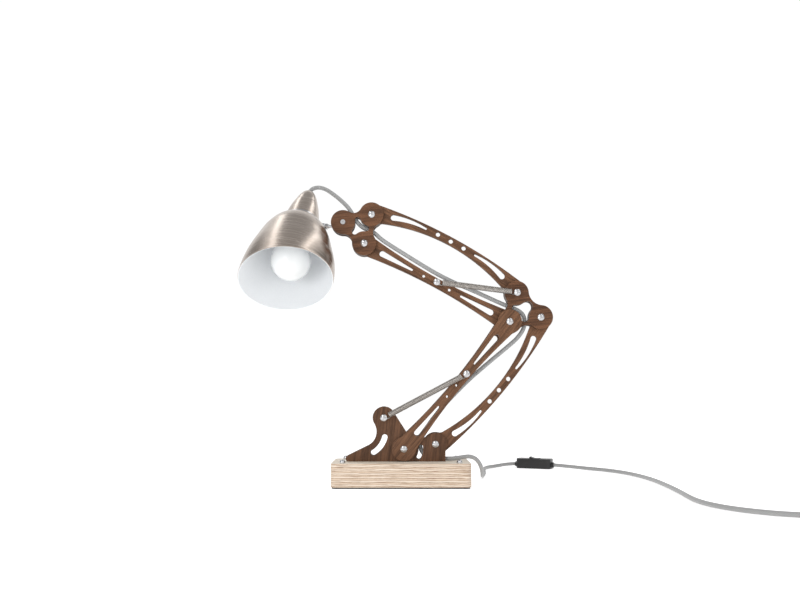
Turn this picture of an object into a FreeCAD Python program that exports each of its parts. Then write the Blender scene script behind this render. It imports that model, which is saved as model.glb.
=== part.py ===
import FreeCAD, Part
import math
import os
import PartDesign
import Sketcher
from FreeCAD import Placement, Rotation, Vector

# A desk lamp with flat wooden arms: a plywood base, two foot plates, a lower and an upper parallel
# linkage joined by three-lobed plates, two balance springs, a spun steel shade and a mains lead.
# X runs to the back of the lamp, Y away from the side with the springs, Z up from the base's underside.

SIZES = [
    ("base_length", 203, "plywood base along X"),
    ("base_width", 110, "plywood base along Y"),
    ("base_corner", 8, "radius of the base's upright corners"),
    ("slab_thickness", 17, "each of the two plywood slabs"),
    ("pad_thickness", 2, "felt pad under the base"),
    ("pad_inset", 1.5, "felt pad inside the base's edge"),
    ("bolt_inset_x", 16.5, "base bolt from the short side"),
    ("bolt_inset_y", 13, "base bolt from the long side"),
    ("bolt_radius", 2.5, "base bolt shank"),
    ("bolt_head_radius", 4.2, "domed base bolt head"),
    ("bolt_head_height", 5.5, "domed base bolt head"),
    ("ballast_length", 140, "steel weight in the lower slab"),
    ("ballast_width", 64, "steel weight in the lower slab"),
    ("ballast_thickness", 8, "steel weight in the lower slab"),
    ("wood_thickness", 5, "every wooden plate and link"),
    ("washer_thickness", 1.3, "washer between two wooden layers"),
    ("washer_radius", 6.5, "outer radius of a washer"),
    ("lobe_radius", 18, "rounded end of every link and plate"),
    ("link_length", 246, "pivot to pivot on all four links"),
    ("straight_waist", 7, "half width of a straight link at its middle"),
    ("straight_sag", 9.05, "rise of a straight link's long edges from its middle to its pivots"),
    ("link_fillet", 9, "hollow between a link's long edge and its lobe"),
    ("bow_top", 28.2, "outer edge of a bowed link from its pivot line"),
    ("bow_bottom", 15.7, "inner edge of a bowed link from its pivot line"),
    ("bow_sag", 27.9, "rise of a bowed link's inner edge from its middle to its pivots"),
    ("slot_start", 31, "wide end of a tapered slot from the pivot"),
    ("slot_end", 81, "narrow end of a tapered slot from the pivot"),
    ("slot_wide", 4.5, "radius of the slot's wide end"),
    ("slot_narrow", 1.7, "radius of the slot's narrow end"),
    ("bow_slot_rise", 12.5, "bowed link's slot at its wide end, from the pivot line"),
    ("bow_slot_peak", 21, "bowed link's slot at its narrow end, from the pivot line"),
    ("bow_slot_sag", 2.5, "bow of the slot's own middle"),
    ("hole_pitch", 21.8, "three holes in the middle of a link"),
    ("light_hole", 3.3, "radius of a hole in a bowed link"),
    ("spring_hole", 2.1, "radius of a spring hole in a straight link"),
    ("screw_radius", 2, "shank of a pivot screw"),
    ("running_gap", 0.1, "radial clearance of a screw in a wooden plate"),
    ("screw_head_radius", 5, "domed pivot screw head"),
    ("screw_head_height", 2.8, "domed pivot screw head"),
    ("recess_width", 1.1, "cross recess in a pivot screw head"),
    ("recess_depth", 1.2, "cross recess in a pivot screw head"),
    ("nut_flats", 7, "hexagon nut across flats"),
    ("nut_height", 3.2, "hexagon nut"),
    ("spacer_radius", 4, "tube between two foot plates"),
    ("front_pivot_x", 4.2, "front foot pivot from the base's middle"),
    ("front_pivot_rise", 18.75, "front foot pivot above the base"),
    ("plate_side_x", 47.1, "second pivot of the foot and elbow from the first, along X"),
    ("plate_side_z", 6.9, "second pivot of the foot and elbow from the first, along Z"),
    ("lower_angle", 50.3, "lower linkage from +X, degrees"),
    ("upper_angle", 151.6, "upper linkage from +X, degrees"),
    ("head_rise_x", 11, "upper arm pivot from the forearm pivot, along X"),
    ("head_rise_z", 43, "upper arm pivot from the forearm pivot, along Z"),
    ("head_reach_x", 31.5, "head pivot in front of the forearm pivot"),
    ("head_reach_z", 31.5, "head pivot above the forearm pivot"),
    ("web_edge", 8.6, "outer edge of a plate's web from its pivot line"),
    ("window_inset", 2.6, "plate window's rounded corners inside the pivot line"),
    ("post_back", 29.7, "spring post in front of the front foot pivot"),
    ("post_rise", 46.5, "spring post above the front foot pivot"),
    ("post_lobe", 16.7, "rounded top of the foot's spring post"),
    ("toe_reach", 82.2, "middle of the toe's round end in front of the front foot pivot"),
    ("toe_radius", 4.5, "round end of the toe"),
    ("instep_radius", 23.5, "hollow curve from the toe up to the spring post"),
    ("instep_angle", 31, "hollow's centre from the post, degrees below level"),
    ("saddle_radius", 22, "hollow of the foot's upper edge between its two pivots"),
    ("heel_back", 15, "foot's upright back edge behind its second pivot"),
    ("toe_slot_width", 8.4, "curved slot behind the instep"),
    ("toe_slot_offset", 13.2, "curved slot's middle line from the instep curve"),
    ("heel_slot_width", 7, "curved slot between the foot's two pivots"),
    ("heel_slot_radius", 25.6, "curved slot's middle line from the front pivot"),
    ("tenon_depth", 8, "foot plate's tenons in the base"),
    ("tenon_length", 26, "each of a foot plate's two tenons"),
    ("tenon_gap", 0.1, "clearance round a tenon"),
    ("head_block_radius", 10, "wooden disc that carries the shade's stem"),
    ("stem_radius", 2.3, "steel stem of the shade"),
    ("stem_fit", 0.05, "radial clearance of the stem in its block"),
    ("stem_drop", 5, "stem below the head pivot"),
    ("stem_length", 30.4, "stem from the head pivot to the shade's bracket"),
    ("stem_seat", 11, "stem from the head pivot to its inner end"),
    ("ear_thickness", 2, "steel ear on the shade's bracket"),
    ("ear_height", 6, "steel band round the cap's foot"),
    ("ear_radius", 4, "round end of the ear"),
    ("ear_screw", 1.5, "screw through ear and fork"),
    ("fork_thickness", 2, "each cheek of the stem's fork"),
    ("shade_roll", 39.5, "shade turned about its stem, degrees from straight down"),
    ("shade_lean", 5.9, "shade's mouth leans forward, degrees"),
    ("shade_radius", 66, "mouth of the shade"),
    ("shade_rim_height", 25, "nearly upright part of the bell"),
    ("shade_length", 116, "spun bell from its mouth to the cap"),
    ("shade_belly", 54, "bell's radius at the belly station"),
    ("shade_belly_station", 66, "belly station from the mouth"),
    ("shade_edge", 39.5, "bell's radius where the shoulder starts"),
    ("shade_shoulder", 7, "height of the bell's rounded shoulder"),
    ("shade_wall", 1, "spun steel"),
    ("shade_neck", 27, "bell's radius where the cap starts"),
    ("cap_foot", 7, "upright foot of the cap"),
    ("cap_length", 80, "cap from the bell to its top"),
    ("cap_step", 46, "crease in the cap from the bell"),
    ("cap_step_radius", 17.5, "cap at the crease"),
    ("cap_top_radius", 7.2, "cap's flat top"),
    ("gland_radius", 4.6, "bush that the lead comes out of"),
    ("nipple_radius", 5, "threaded nipple on the lamp holder"),
    ("bracket_station", 4, "stem's bracket from the bell, along the cap"),
    ("bracket_reach", 34, "stem's bracket from the shade's axis"),
    ("holder_radius", 19, "lamp holder"),
    ("holder_length", 42, "lamp holder"),
    ("socket_depth", 27, "bulb's socket in the lamp holder"),
    ("bulb_radius", 28.5, "bulb's globe"),
    ("bulb_station", 39, "middle of the globe from the shade's mouth"),
    ("bulb_neck_radius", 13.3, "bulb's screw cap"),
    ("bulb_base_length", 23.5, "bulb's screw cap and its contact"),
    ("bulb_wall", 1, "bulb's glass"),
    ("cord_radius", 3.15, "braided lead"),
    ("wire_radius", 0.95, "spring wire"),
    ("coil_radius", 3.6, "spring's mean radius"),
    ("hook_radius", 3.4, "spring's end loop round its screw"),
    ("hook_length", 8.5, "spring's first turn from its screw"),
    ("spring_offset", 6, "spring's axis from the wood beside it"),
    ("spring_pitch", 4.4, "spring's turns"),
    ("spring_groove", 2, "screw's neck inside a spring's end loop"),
    ("spring_collar", 3.8, "screw's collar beside a spring's end loop"),
    ("switch_length", 64, "cord switch"),
    ("switch_width", 25, "cord switch"),
    ("switch_height", 18, "cord switch"),
    ("switch_corner", 5, "rounded ends of the cord switch"),
    ("switch_axis", 7, "lead's height in the cord switch, where its halves meet"),
    ("relief_stub", 4, "bush at each end of the cord switch"),
    ("rocker_length", 18, "rocker"),
    ("rocker_width", 11, "rocker"),
    ("rocker_gap", 0.6, "clearance round the rocker"),
    ("rocker_rise", 2.4, "rocker's ends above the switch"),
    ("rocker_well", 8, "depth of the rocker's well"),
    ("rocker_floor_gap", 1.6, "rocker's underside above the well's floor"),
    ("rocker_pivot_depth", 2.6, "rocker's pin below the switch's face"),
    ("rocker_pin", 1.2, "rocker's pin"),
    ("rocker_pin_reach", 2.5, "rocker's pin beyond each of its sides"),
    ("rocker_tilt", 7, "rocker's rest position, degrees"),
    ("coil_mean", 30, "innermost turn of the stored lead"),
    ("coil_step", 8.6, "from turn to turn of the stored lead"),
    ("coil_layer_gap", 0.6, "between the two layers of stored lead"),
    ("plug_length", 30, "mains plug body"),
    ("plug_width", 27, "mains plug body"),
    ("plug_height", 14, "mains plug body"),
    ("plug_pin_radius", 2, "plug pins"),
    ("plug_pin_length", 17, "plug pins"),
    ("plug_pin_pitch", 18.6, "plug pins"),
    ("relief_length", 24, "plug's tapered strain relief"),
]

doc = FreeCAD.newDocument("desk_lamp")
sheet = doc.addObject("Spreadsheet::Sheet", "Sizes")
for row, (alias, value, note) in enumerate(SIZES, 1):
    sheet.set(f"A{row}", alias)
    sheet.set(f"B{row}", str(value))
    sheet.set(f"C{row}", note)
    sheet.setAlias(f"B{row}", alias)
doc.recompute()
exported = []


def size(alias):
    return float(sheet.get(alias))


def cell(alias):
    return f"Sizes.{alias}"


def keep(piece, label):
    """Names a sub-part and puts it on the list of files."""
    piece.Label = label
    exported.append(piece)
    return piece


def part_body(label):
    body = doc.addObject("PartDesign::Body", label)
    return keep(body, label)


def plane_of(body, role):
    return next(f for f in body.Origin.OriginFeatures if f.Role == role)


def sketch_on(body, role, name, edges, lift=None):
    sketch = body.newObject("Sketcher::SketchObject", name)
    sketch.AttachmentSupport = (plane_of(body, role), [""])
    sketch.MapMode = "FlatFace"
    if lift is not None:
        sketch.AttachmentOffset = Placement(Vector(0, 0, lift), Rotation())
    for edge in edges:
        sketch.addGeometry(edge, False)
    return sketch


def pad(body, sketch, length, middle=False, reverse=False):
    feature = body.newObject("PartDesign::Pad", sketch.Name + "_pad")
    feature.Profile = sketch
    feature.setExpression("Length", length)
    feature.Midplane = middle
    feature.Reversed = reverse
    sketch.Visibility = False
    return feature


def revolve(body, sketch, axis_role):
    feature = body.newObject("PartDesign::Revolution", sketch.Name + "_turn")
    feature.Profile = sketch
    feature.ReferenceAxis = (plane_of(body, axis_role), [""])
    feature.Angle = 360
    return feature


def flat(x, y):
    return Vector(x, y, 0)


def line(a, b):
    return Part.LineSegment(a, b)


def arc(a, through, b):
    return Part.Arc(a, through, b)


def circle(centre, radius):
    return Part.Circle(centre, Vector(0, 0, 1), radius)


def unit(vector):
    return vector / vector.Length


# Outlines of the wooden pieces, drawn in a plane with X across and Z as the second coordinate

def flank(first, second, lobe, waist):
    """Edge between two equal lobes, tangent to both, with its middle at waist from their line, to the left."""
    along = second - first
    half = along.Length / 2
    left = unit(flat(-along.y, along.x))
    bend = (half * half + waist * waist - lobe * lobe) / (2 * (lobe - waist))
    middle = first + along / 2
    centre = middle + left * (waist + bend)
    side = math.copysign(lobe, bend)
    start = first + unit(centre - first) * side
    end = second + unit(centre - second) * side
    return start, middle + left * waist, end


def crossing(first, first_radius, second, second_radius):
    """The point on the right of the way from first to second at these distances from them."""
    gap = second - first
    along = (gap.Length ** 2 + first_radius ** 2 - second_radius ** 2) / (2 * gap.Length)
    across = math.sqrt(first_radius ** 2 - along ** 2)
    ahead = unit(gap)
    return first + ahead * along + flat(ahead.y, -ahead.x) * across


def hollow_edge(first, second, waist, sag):
    """Long hollow edge on the left of two pivots, with a small fillet into each lobe."""
    lobe = size("lobe_radius")
    fillet = size("link_fillet")
    along = unit(second - first)
    left = flat(-along.y, along.x)
    middle = first + (second - first) / 2
    bend = ((second - first).Length ** 2 / 4 + sag * sag) / (2 * sag)
    centre = middle + left * (waist + bend)

    def mirrored(point):
        return point - along * (2 * (point - middle).dot(along))

    near = crossing(first, lobe + fillet, centre, bend - fillet)
    on_lobe = first + unit(near - first) * lobe
    on_edge = near + unit(near - centre) * fillet
    hollow = near + unit((on_lobe + on_edge) / 2 - near) * fillet
    return [
        (on_lobe, hollow, on_edge),
        (on_edge, middle + left * waist, mirrored(on_edge)),
        (mirrored(on_edge), mirrored(hollow), mirrored(on_lobe)),
    ]


def link_outline(first, second, left_edge, right_edge):
    """Two lobes joined by an edge on each side; the edges are lists of arcs."""
    along = unit(second - first)
    lobe = size("lobe_radius")
    edges = [arc(*points) for points in left_edge + right_edge]
    edges.append(arc(left_edge[-1][2], second + along * lobe, right_edge[0][0]))
    edges.append(arc(right_edge[-1][2], first - along * lobe, left_edge[0][0]))
    return edges


def straight_outline(first, second):
    """Straight link: two lobes and a waisted bar."""
    waist = size("straight_waist")
    sag = size("straight_sag")
    return link_outline(
        first, second, hollow_edge(first, second, waist, sag), hollow_edge(second, first, waist, sag)
    )


def bowed_outline(first, second):
    """Bowed link: the whole bar lies on the left of its pivot line."""
    outer = [flank(first, second, size("lobe_radius"), size("bow_top"))]
    inner = hollow_edge(second, first, -size("bow_bottom"), size("bow_sag"))
    return link_outline(first, second, outer, inner)


def tapered_slot(wide, narrow, sag):
    """Slot with a wide and a narrow round end, whose middle bows to the left by sag."""
    along = unit(narrow - wide)
    left = flat(-along.y, along.x)
    big = size("slot_wide")
    small = size("slot_narrow")
    middle = (wide + narrow) / 2 + left * sag
    half = (big + small) / 2

    def side(start, through, end):
        return arc(start, through, end) if sag else line(start, end)

    return [
        arc(wide - left * big, wide - along * big, wide + left * big),
        side(wide + left * big, middle + left * half, narrow + left * small),
        arc(narrow + left * small, narrow + along * small, narrow - left * small),
        side(narrow - left * small, middle - left * half, wide - left * big),
    ]


def slots_and_holes(first, second, rise, peak, sag, hole, middle_rise):
    """The two slots and three holes of a link, seen from its first pivot."""
    along = unit(second - first)
    left = flat(-along.y, along.x)
    span = (second - first).Length
    edges = []
    wide = first + along * size("slot_start") + left * rise
    narrow = first + along * size("slot_end") + left * peak
    edges += tapered_slot(wide, narrow, sag)
    wide = first + along * (span - size("slot_start")) + left * rise
    narrow = first + along * (span - size("slot_end")) + left * peak
    edges += tapered_slot(wide, narrow, -sag)
    for step in (-1, 0, 1):
        centre = first + along * (span / 2 + step * size("hole_pitch")) + left * middle_rise
        edges.append(circle(centre, hole))
    return edges


def pivot_holes(points):
    bore = size("screw_radius") + size("running_gap")
    return [circle(point, bore) for point in points]


def three_lobed(points):
    """Plate with a lobe at each of three pivots, joined by webs round a three-cornered window."""
    lobe = size("lobe_radius")
    edges = []
    ends = []
    for index in range(3):
        first = points[index]
        second = points[(index + 1) % 3]
        start, middle, end = flank(first, second, lobe, size("web_edge"))
        edges.append(arc(start, middle, end))
        ends.append((start, end))
    heart = (points[0] + points[1] + points[2]) / 3
    for index in range(3):
        pivot = points[index]
        outward = unit(pivot - heart)
        arrive = ends[index - 1][1]
        leave = ends[index][0]
        edges.append(arc(arrive, pivot + outward * lobe, leave))
    corners = []
    for index in range(3):
        first = points[index]
        second = points[(index + 1) % 3]
        middle = (first + second) / 2
        centre = middle + unit(heart - middle) * size("window_inset")
        near = first + unit(centre - first) * lobe
        far = second + unit(centre - second) * lobe
        outer = centre + unit(middle - centre) * ((centre - first).Length - lobe)
        edges.append(arc(near, outer, far))
        corners.append((near, far))
    for index in range(3):
        pivot = points[index]
        inward = unit(heart - pivot)
        edges.append(arc(corners[index - 1][1], pivot + inward * lobe, corners[index][0]))
    return edges + pivot_holes(points)


# Where the pivots are, in the XZ plane

wood = size("wood_thickness")
layer = wood + size("washer_thickness")
base_top = size("pad_thickness") + 2 * size("slab_thickness")
foot_front = flat(size("front_pivot_x"), base_top + size("front_pivot_rise"))
plate_side = flat(size("plate_side_x"), size("plate_side_z"))
foot_back = foot_front + plate_side
lower = math.radians(size("lower_angle"))
upper = math.radians(size("upper_angle"))
reach = size("link_length")
elbow_front = foot_front + flat(math.cos(lower), math.sin(lower)) * reach
elbow_back = elbow_front + plate_side
head_rise = flat(size("head_rise_x"), size("head_rise_z"))
elbow_top = elbow_front + head_rise
head_low = elbow_front + flat(math.cos(upper), math.sin(upper)) * reach
head_top = head_low + head_rise
head_pivot = head_low + flat(-size("head_reach_x"), size("head_reach_z"))
post = foot_front + flat(-size("post_back"), size("post_rise"))


def along_link(first, second, distance):
    return first + unit(second - first) * distance


lower_hook = along_link(foot_front, elbow_front, reach / 2 + size("hole_pitch"))
upper_hook = along_link(head_low, elbow_front, reach / 2)


def wooden_piece(label, edges, level):
    """A flat wooden piece, level layers towards +Y from the lamp's middle plane."""
    body = part_body(label)
    sketch = sketch_on(body, "XZ_Plane", label + "_outline", edges)
    pad(body, sketch, cell("wood_thickness"), middle=True)
    pitch = f"{cell('wood_thickness')} + {cell('washer_thickness')}"
    body.setExpression("Placement.Base.y", f"{level} * ({pitch})")
    return body


def make_links():
    straight = {
        "front_link_near": (foot_front, elbow_front, -2),
        "front_link_far": (foot_front, elbow_front, 2),
        "forearm_link": (head_low, elbow_front, 0),
    }
    for label, (first, second, level) in straight.items():
        edges = straight_outline(first, second) + pivot_holes([first, second])
        edges += slots_and_holes(first, second, 0, 0, 0, size("spring_hole"), 0)
        wooden_piece(label, edges, level)
    rise = size("bow_slot_rise")
    peak = size("bow_slot_peak")
    bar_middle = (size("bow_top") + size("bow_bottom")) / 2
    for label, (first, second) in {
        "upper_arm": (head_top, elbow_top),
        "rear_link": (elbow_back, foot_back),
    }.items():
        edges = bowed_outline(first, second) + pivot_holes([first, second])
        edges += slots_and_holes(
            first, second, rise, peak, size("bow_slot_sag"), size("light_hole"), bar_middle
        )
        wooden_piece(label, edges, 0)


def make_joining_plates():
    elbow = three_lobed([elbow_front, elbow_top, elbow_back])
    head = three_lobed([head_low, head_pivot, head_top])
    for label, level in (("near", -1), ("far", 1)):
        wooden_piece(f"elbow_plate_{label}", elbow, level)
        wooden_piece(f"head_plate_{label}", head, level)


def arc_slot(centre, radius, width, start, end):
    """Slot of even width along an arc, with round ends; angles in degrees from +X."""
    def at(distance, angle):
        turn = math.radians(angle)
        return centre + flat(math.cos(turn), math.sin(turn)) * distance

    half = width / 2
    middle = (start + end) / 2
    cap = math.degrees(half / radius) * math.copysign(1, end - start)
    return [
        arc(at(radius - half, start), at(radius, start - cap), at(radius + half, start)),
        arc(at(radius + half, start), at(radius + half, middle), at(radius + half, end)),
        arc(at(radius + half, end), at(radius, end + cap), at(radius - half, end)),
        arc(at(radius - half, end), at(radius - half, middle), at(radius - half, start)),
    ]


TENON_PLACES = (-46, 20)


def make_foot_plates():
    """Foot with a slim toe, a spring post and the two lower pivots, tenoned into the base."""
    post_lobe = size("post_lobe")
    nose = size("toe_radius")
    hollow = size("instep_radius")
    toe = flat(foot_front.x - size("toe_reach"), base_top + nose)
    lean = math.radians(180 + size("instep_angle"))
    instep = post + flat(math.cos(lean), math.sin(lean)) * (post_lobe + hollow)
    post_touch = post + unit(instep - post) * post_lobe
    # the toe's straight top touches its round end from above and the hollow from below
    gap = instep - toe
    climb = math.atan2(gap.y, gap.x) - math.asin((nose + hollow) / gap.Length)
    normal = flat(-math.sin(climb), math.cos(climb))
    nose_top = toe + normal * nose
    instep_foot = instep - normal * hollow
    nose_foot = toe - flat(0, nose)
    deep = instep + unit(unit(post_touch - instep) + unit(instep_foot - instep)) * hollow
    # the shin runs straight down from the post's lobe, then a hollow turns it into the back lobe
    crook = size("saddle_radius")
    down = unit(foot_front - post)
    side = flat(-down.y, down.x)
    toward = foot_back - post - side * (post_lobe + crook)
    fall = toward.dot(down) - math.sqrt((post_lobe + crook) ** 2 - toward.dot(side) ** 2)
    crook_centre = post + side * (post_lobe + crook) + down * fall
    shin_top = post + side * post_lobe
    shin_end = shin_top + down * fall
    saddle_end = foot_back + unit(crook_centre - foot_back) * post_lobe
    saddle_low = crook_centre + unit(unit(shin_end - crook_centre) + unit(saddle_end - crook_centre)) * crook
    back = size("heel_back")
    heel_touch = foot_back + flat(back, -math.sqrt(post_lobe ** 2 - back ** 2))
    heel = flat(heel_touch.x, base_top)
    outline = [
        arc(nose_foot, toe - flat(nose, 0), nose_top),
        line(nose_top, instep_foot),
        arc(instep_foot, deep, post_touch),
        arc(post_touch, post + flat(0, post_lobe), shin_top),
        line(shin_top, shin_end),
        arc(shin_end, saddle_low, saddle_end),
        arc(saddle_end, foot_back + unit(flat(1, 1)) * post_lobe, heel_touch),
        line(heel_touch, heel),
    ]
    depth = size("tenon_depth")
    half = size("tenon_length") / 2
    floor = heel
    for place in sorted(TENON_PLACES, reverse=True):
        right = flat(foot_front.x + place + half, base_top)
        left = flat(foot_front.x + place - half, base_top)
        outline.append(line(floor, right))
        outline.append(line(right, right - flat(0, depth)))
        outline.append(line(right - flat(0, depth), left - flat(0, depth)))
        outline.append(line(left - flat(0, depth), left))
        floor = left
    outline.append(line(floor, nose_foot))
    toe_slot = arc_slot(instep, hollow + size("toe_slot_offset"), size("toe_slot_width"), -13, -59)
    heel_slot = arc_slot(foot_front, size("heel_slot_radius"), size("heel_slot_width"), 6, -28)
    edges = outline + toe_slot + heel_slot + pivot_holes([post, foot_front, foot_back])
    for label, level in (("near", -1), ("far", 1)):
        wooden_piece(f"foot_plate_{label}", edges, level)


def rounded_rectangle(length, width, corner, centre=None):
    centre = centre or flat(0, 0)
    half_x = length / 2
    half_y = width / 2
    lean = corner * (1 - math.sqrt(0.5))
    edges = []
    signs = [(1, 1), (-1, 1), (-1, -1), (1, -1)]
    for index, (sx, sy) in enumerate(signs):
        tall = index % 2 == 0
        on_side = centre + flat(sx * half_x, sy * (half_y - corner))
        on_end = centre + flat(sx * (half_x - corner), sy * half_y)
        start, end = (on_side, on_end) if tall else (on_end, on_side)
        edges.append(arc(start, centre + flat(sx * (half_x - lean), sy * (half_y - lean)), end))
        nx, ny = signs[(index + 1) % 4]
        if tall:
            following = centre + flat(nx * (half_x - corner), ny * half_y)
        else:
            following = centre + flat(nx * half_x, ny * (half_y - corner))
        edges.append(line(end, following))
    return edges


def rectangle(length, width, centre):
    half_x = length / 2
    half_y = width / 2
    corners = [
        centre + flat(x, y)
        for x, y in ((-half_x, -half_y), (half_x, -half_y), (half_x, half_y), (-half_x, half_y))
    ]
    return [line(corners[i], corners[(i + 1) % 4]) for i in range(4)]


bolt_places = [
    flat(sx * (size("base_length") / 2 - size("bolt_inset_x")),
         sy * (size("base_width") / 2 - size("bolt_inset_y")))
    for sx in (-1, 1) for sy in (-1, 1)
]


def make_base():
    """Two plywood slabs, a steel weight let into the lower one, a felt pad and four bolts."""
    bores = [circle(place, size("bolt_radius") + size("running_gap")) for place in bolt_places]
    outline = rounded_rectangle(size("base_length"), size("base_width"), size("base_corner"))
    lower_slab = part_body("base_lower_slab")
    sketch = sketch_on(lower_slab, "XY_Plane", "lower_outline", outline + bores, size("pad_thickness"))
    sketch.setExpression("AttachmentOffset.Base.z", cell("pad_thickness"))
    pad(lower_slab, sketch, cell("slab_thickness"))
    room = 2 * size("tenon_gap")
    recess = rectangle(size("ballast_length") + room, size("ballast_width") + room, flat(0, 0))
    cut = sketch_on(lower_slab, "XY_Plane", "ballast_recess", recess)
    cut.setExpression("AttachmentOffset.Base.z", cell("pad_thickness"))
    pocket = lower_slab.newObject("PartDesign::Pocket", "ballast_pocket")
    pocket.Profile = cut
    pocket.setExpression("Length", cell("ballast_thickness"))
    pocket.Reversed = True
    upper_slab = part_body("base_upper_slab")
    sketch = sketch_on(upper_slab, "XY_Plane", "upper_outline", outline + bores)
    joint_level = f"{cell('pad_thickness')} + {cell('slab_thickness')}"
    sketch.setExpression("AttachmentOffset.Base.z", joint_level)
    pad(upper_slab, sketch, cell("slab_thickness"))
    mortises = []
    for level in (-1, 1):
        for place in TENON_PLACES:
            centre = flat(foot_front.x + place, level * layer)
            mortises += rectangle(size("tenon_length") + room, wood + room, centre)
    cut = sketch_on(upper_slab, "XY_Plane", "mortises", mortises)
    cut.setExpression("AttachmentOffset.Base.z", f"{joint_level} + {cell('slab_thickness')}")
    pocket = upper_slab.newObject("PartDesign::Pocket", "mortise_pocket")
    pocket.Profile = cut
    pocket.setExpression("Length", f"{cell('tenon_depth')} + {cell('tenon_gap')}")
    weight = part_body("ballast_plate")
    plate = rectangle(size("ballast_length"), size("ballast_width"), flat(0, 0))
    sketch = sketch_on(weight, "XY_Plane", "ballast_outline", plate)
    sketch.setExpression("AttachmentOffset.Base.z", cell("pad_thickness"))
    pad(weight, sketch, f"{cell('ballast_thickness')} - {cell('tenon_gap')}")
    felt = part_body("felt_pad")
    inset = size("pad_inset")
    outline = rounded_rectangle(
        size("base_length") - 2 * inset, size("base_width") - 2 * inset, size("base_corner") - inset
    )
    pad(felt, sketch_on(felt, "XY_Plane", "felt_outline", outline), cell("pad_thickness"))
    master = Part.makeCylinder(size("bolt_radius"), 2 * size("slab_thickness") - 2, Vector(0, 0, base_top),
                               Vector(0, 0, -1))
    master = master.fuse(dome(size("bolt_head_radius"), size("bolt_head_height"), Vector(0, 0, base_top),
                              Vector(0, 0, 1)))
    group("base_bolts", [moved(master, place) for place in bolt_places])


# Fasteners, each group one node of separate solids

def moved(shape, offset):
    copy = shape.copy()
    copy.translate(offset)
    return copy


def group(label, solids):
    piece = doc.addObject("Part::Feature", label)
    piece.Shape = Part.makeCompound(solids) if len(solids) > 1 else solids[0]
    return keep(piece, label)


def dome(radius, height, foot, up):
    """Domed head with a short upright rim: a disc and a cap of a sphere."""
    rim = height * 0.35
    rise = height - rim
    ball = (radius * radius + rise * rise) / (2 * rise)
    disc = Part.makeCylinder(radius, height, foot, up)
    sphere = Part.makeSphere(ball, foot + up * (height - ball))
    return disc.common(sphere)


def pivot_screw(place, grip, head_side=-1, nut_grip=None):
    """Screw along Y: domed head with a cross recess on one side, hexagon nut on the other."""
    near = grip if head_side < 0 else (nut_grip or grip)
    out = Vector(0, head_side, 0)
    centre = Vector(place.x, 0, place.y)
    head_foot = centre + out * near
    far = nut_grip or grip
    nut_foot = centre - out * far
    shank = Part.makeCylinder(size("screw_radius"), near + far + size("nut_height") + 1, head_foot, out * -1)
    head = dome(size("screw_head_radius"), size("screw_head_height"), head_foot, out)
    width = size("recess_width")
    span = size("screw_head_radius") * 1.1
    top = head_foot + out * size("screw_head_height")
    for turn in (0, 90):
        slot = Part.makeBox(span, size("recess_depth") * 2, width, Vector(-span / 2, -size("recess_depth"), -width / 2))
        slot.rotate(Vector(0, 0, 0), Vector(0, 1, 0), turn + 20)
        slot.translate(top)
        head = head.cut(slot)
    across = size("nut_flats") / math.sqrt(3)
    ring = [
        Vector(across * math.cos(math.radians(60 * k)), 0, across * math.sin(math.radians(60 * k)))
        for k in range(7)
    ]
    nut = Part.Face(Part.makePolygon(ring)).extrude(out * -size("nut_height"))
    nut.translate(nut_foot)
    return shank.fuse([head, nut]).removeSplitter()


def ring(place, outer, inner, low, high):
    """Washer or tube along Y between two levels."""
    foot = Vector(place.x, low, place.y)
    along = Vector(0, 1, 0)
    tube = Part.makeCylinder(outer, high - low, foot, along)
    return tube.cut(Part.makeCylinder(inner, high - low, foot, along))


def make_fasteners():
    inner_face = layer - wood / 2
    plate_face = layer + wood / 2
    link_face = 2 * layer + wood / 2
    bore = size("screw_radius") + size("running_gap")
    disc = size("washer_radius")
    slack = 0.02

    def washers(place, low, high):
        return [ring(place, disc, bore, side * low if side > 0 else -high, side * high if side > 0 else -low)
                for side in (-1, 1)]

    middle = (wood / 2 + slack, inner_face - slack)
    outside = (plate_face + slack, link_face - wood - slack)
    group("foot_pivot_screws", [pivot_screw(foot_front, link_face), pivot_screw(foot_back, plate_face)])
    group("foot_washers", washers(foot_front, *outside) + washers(foot_back, *middle))
    spacer = size("spacer_radius")
    group("foot_spacers", [ring(p, spacer, bore, -inner_face, inner_face) for p in (foot_front, post)])
    spring_level = plate_face + size("spring_offset") + size("coil_radius")
    group("elbow_screws", [
        pivot_screw(elbow_front, link_face),
        pivot_screw(elbow_back, plate_face),
    ])
    group("elbow_washers", washers(elbow_front, *outside) + washers(elbow_front, *middle)
          + washers(elbow_back, *middle) + washers(elbow_top, *middle))
    group("head_screws", [pivot_screw(head_low, plate_face), pivot_screw(head_top, plate_face)])
    group("head_washers", washers(head_low, *middle) + washers(head_top, *middle))
    small = ring(head_pivot, 3.6, 1.2, -plate_face - 2, -plate_face)
    bolt = Part.makeCylinder(size("screw_radius"), 2 * plate_face, Vector(head_pivot.x, -plate_face, head_pivot.y),
                             Vector(0, 1, 0))
    cap = ring(head_pivot, 3.6, 1.2, plate_face, plate_face + 2)
    group("head_pivot_bolt", [bolt.fuse([small, cap]).removeSplitter()])


# Springs hang on screws with a long collar, outside the wood

def spring_screw(place, wood_face, level, nut_face):
    """Screw whose collar stands out of the wood and carries a spring's end loop at level."""
    room = size("wire_radius") + 0.5
    near = level + room
    outer = size("spring_collar")
    collar = Part.makeCylinder(outer, near - wood_face, Vector(place.x, -wood_face, place.y), Vector(0, -1, 0))
    groove = ring(place, outer + 1, size("spring_groove"), -level - room, -level + room)
    screw = pivot_screw(place, near, -1, nut_face)
    return screw.fuse(collar).cut(groove).removeSplitter()


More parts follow.
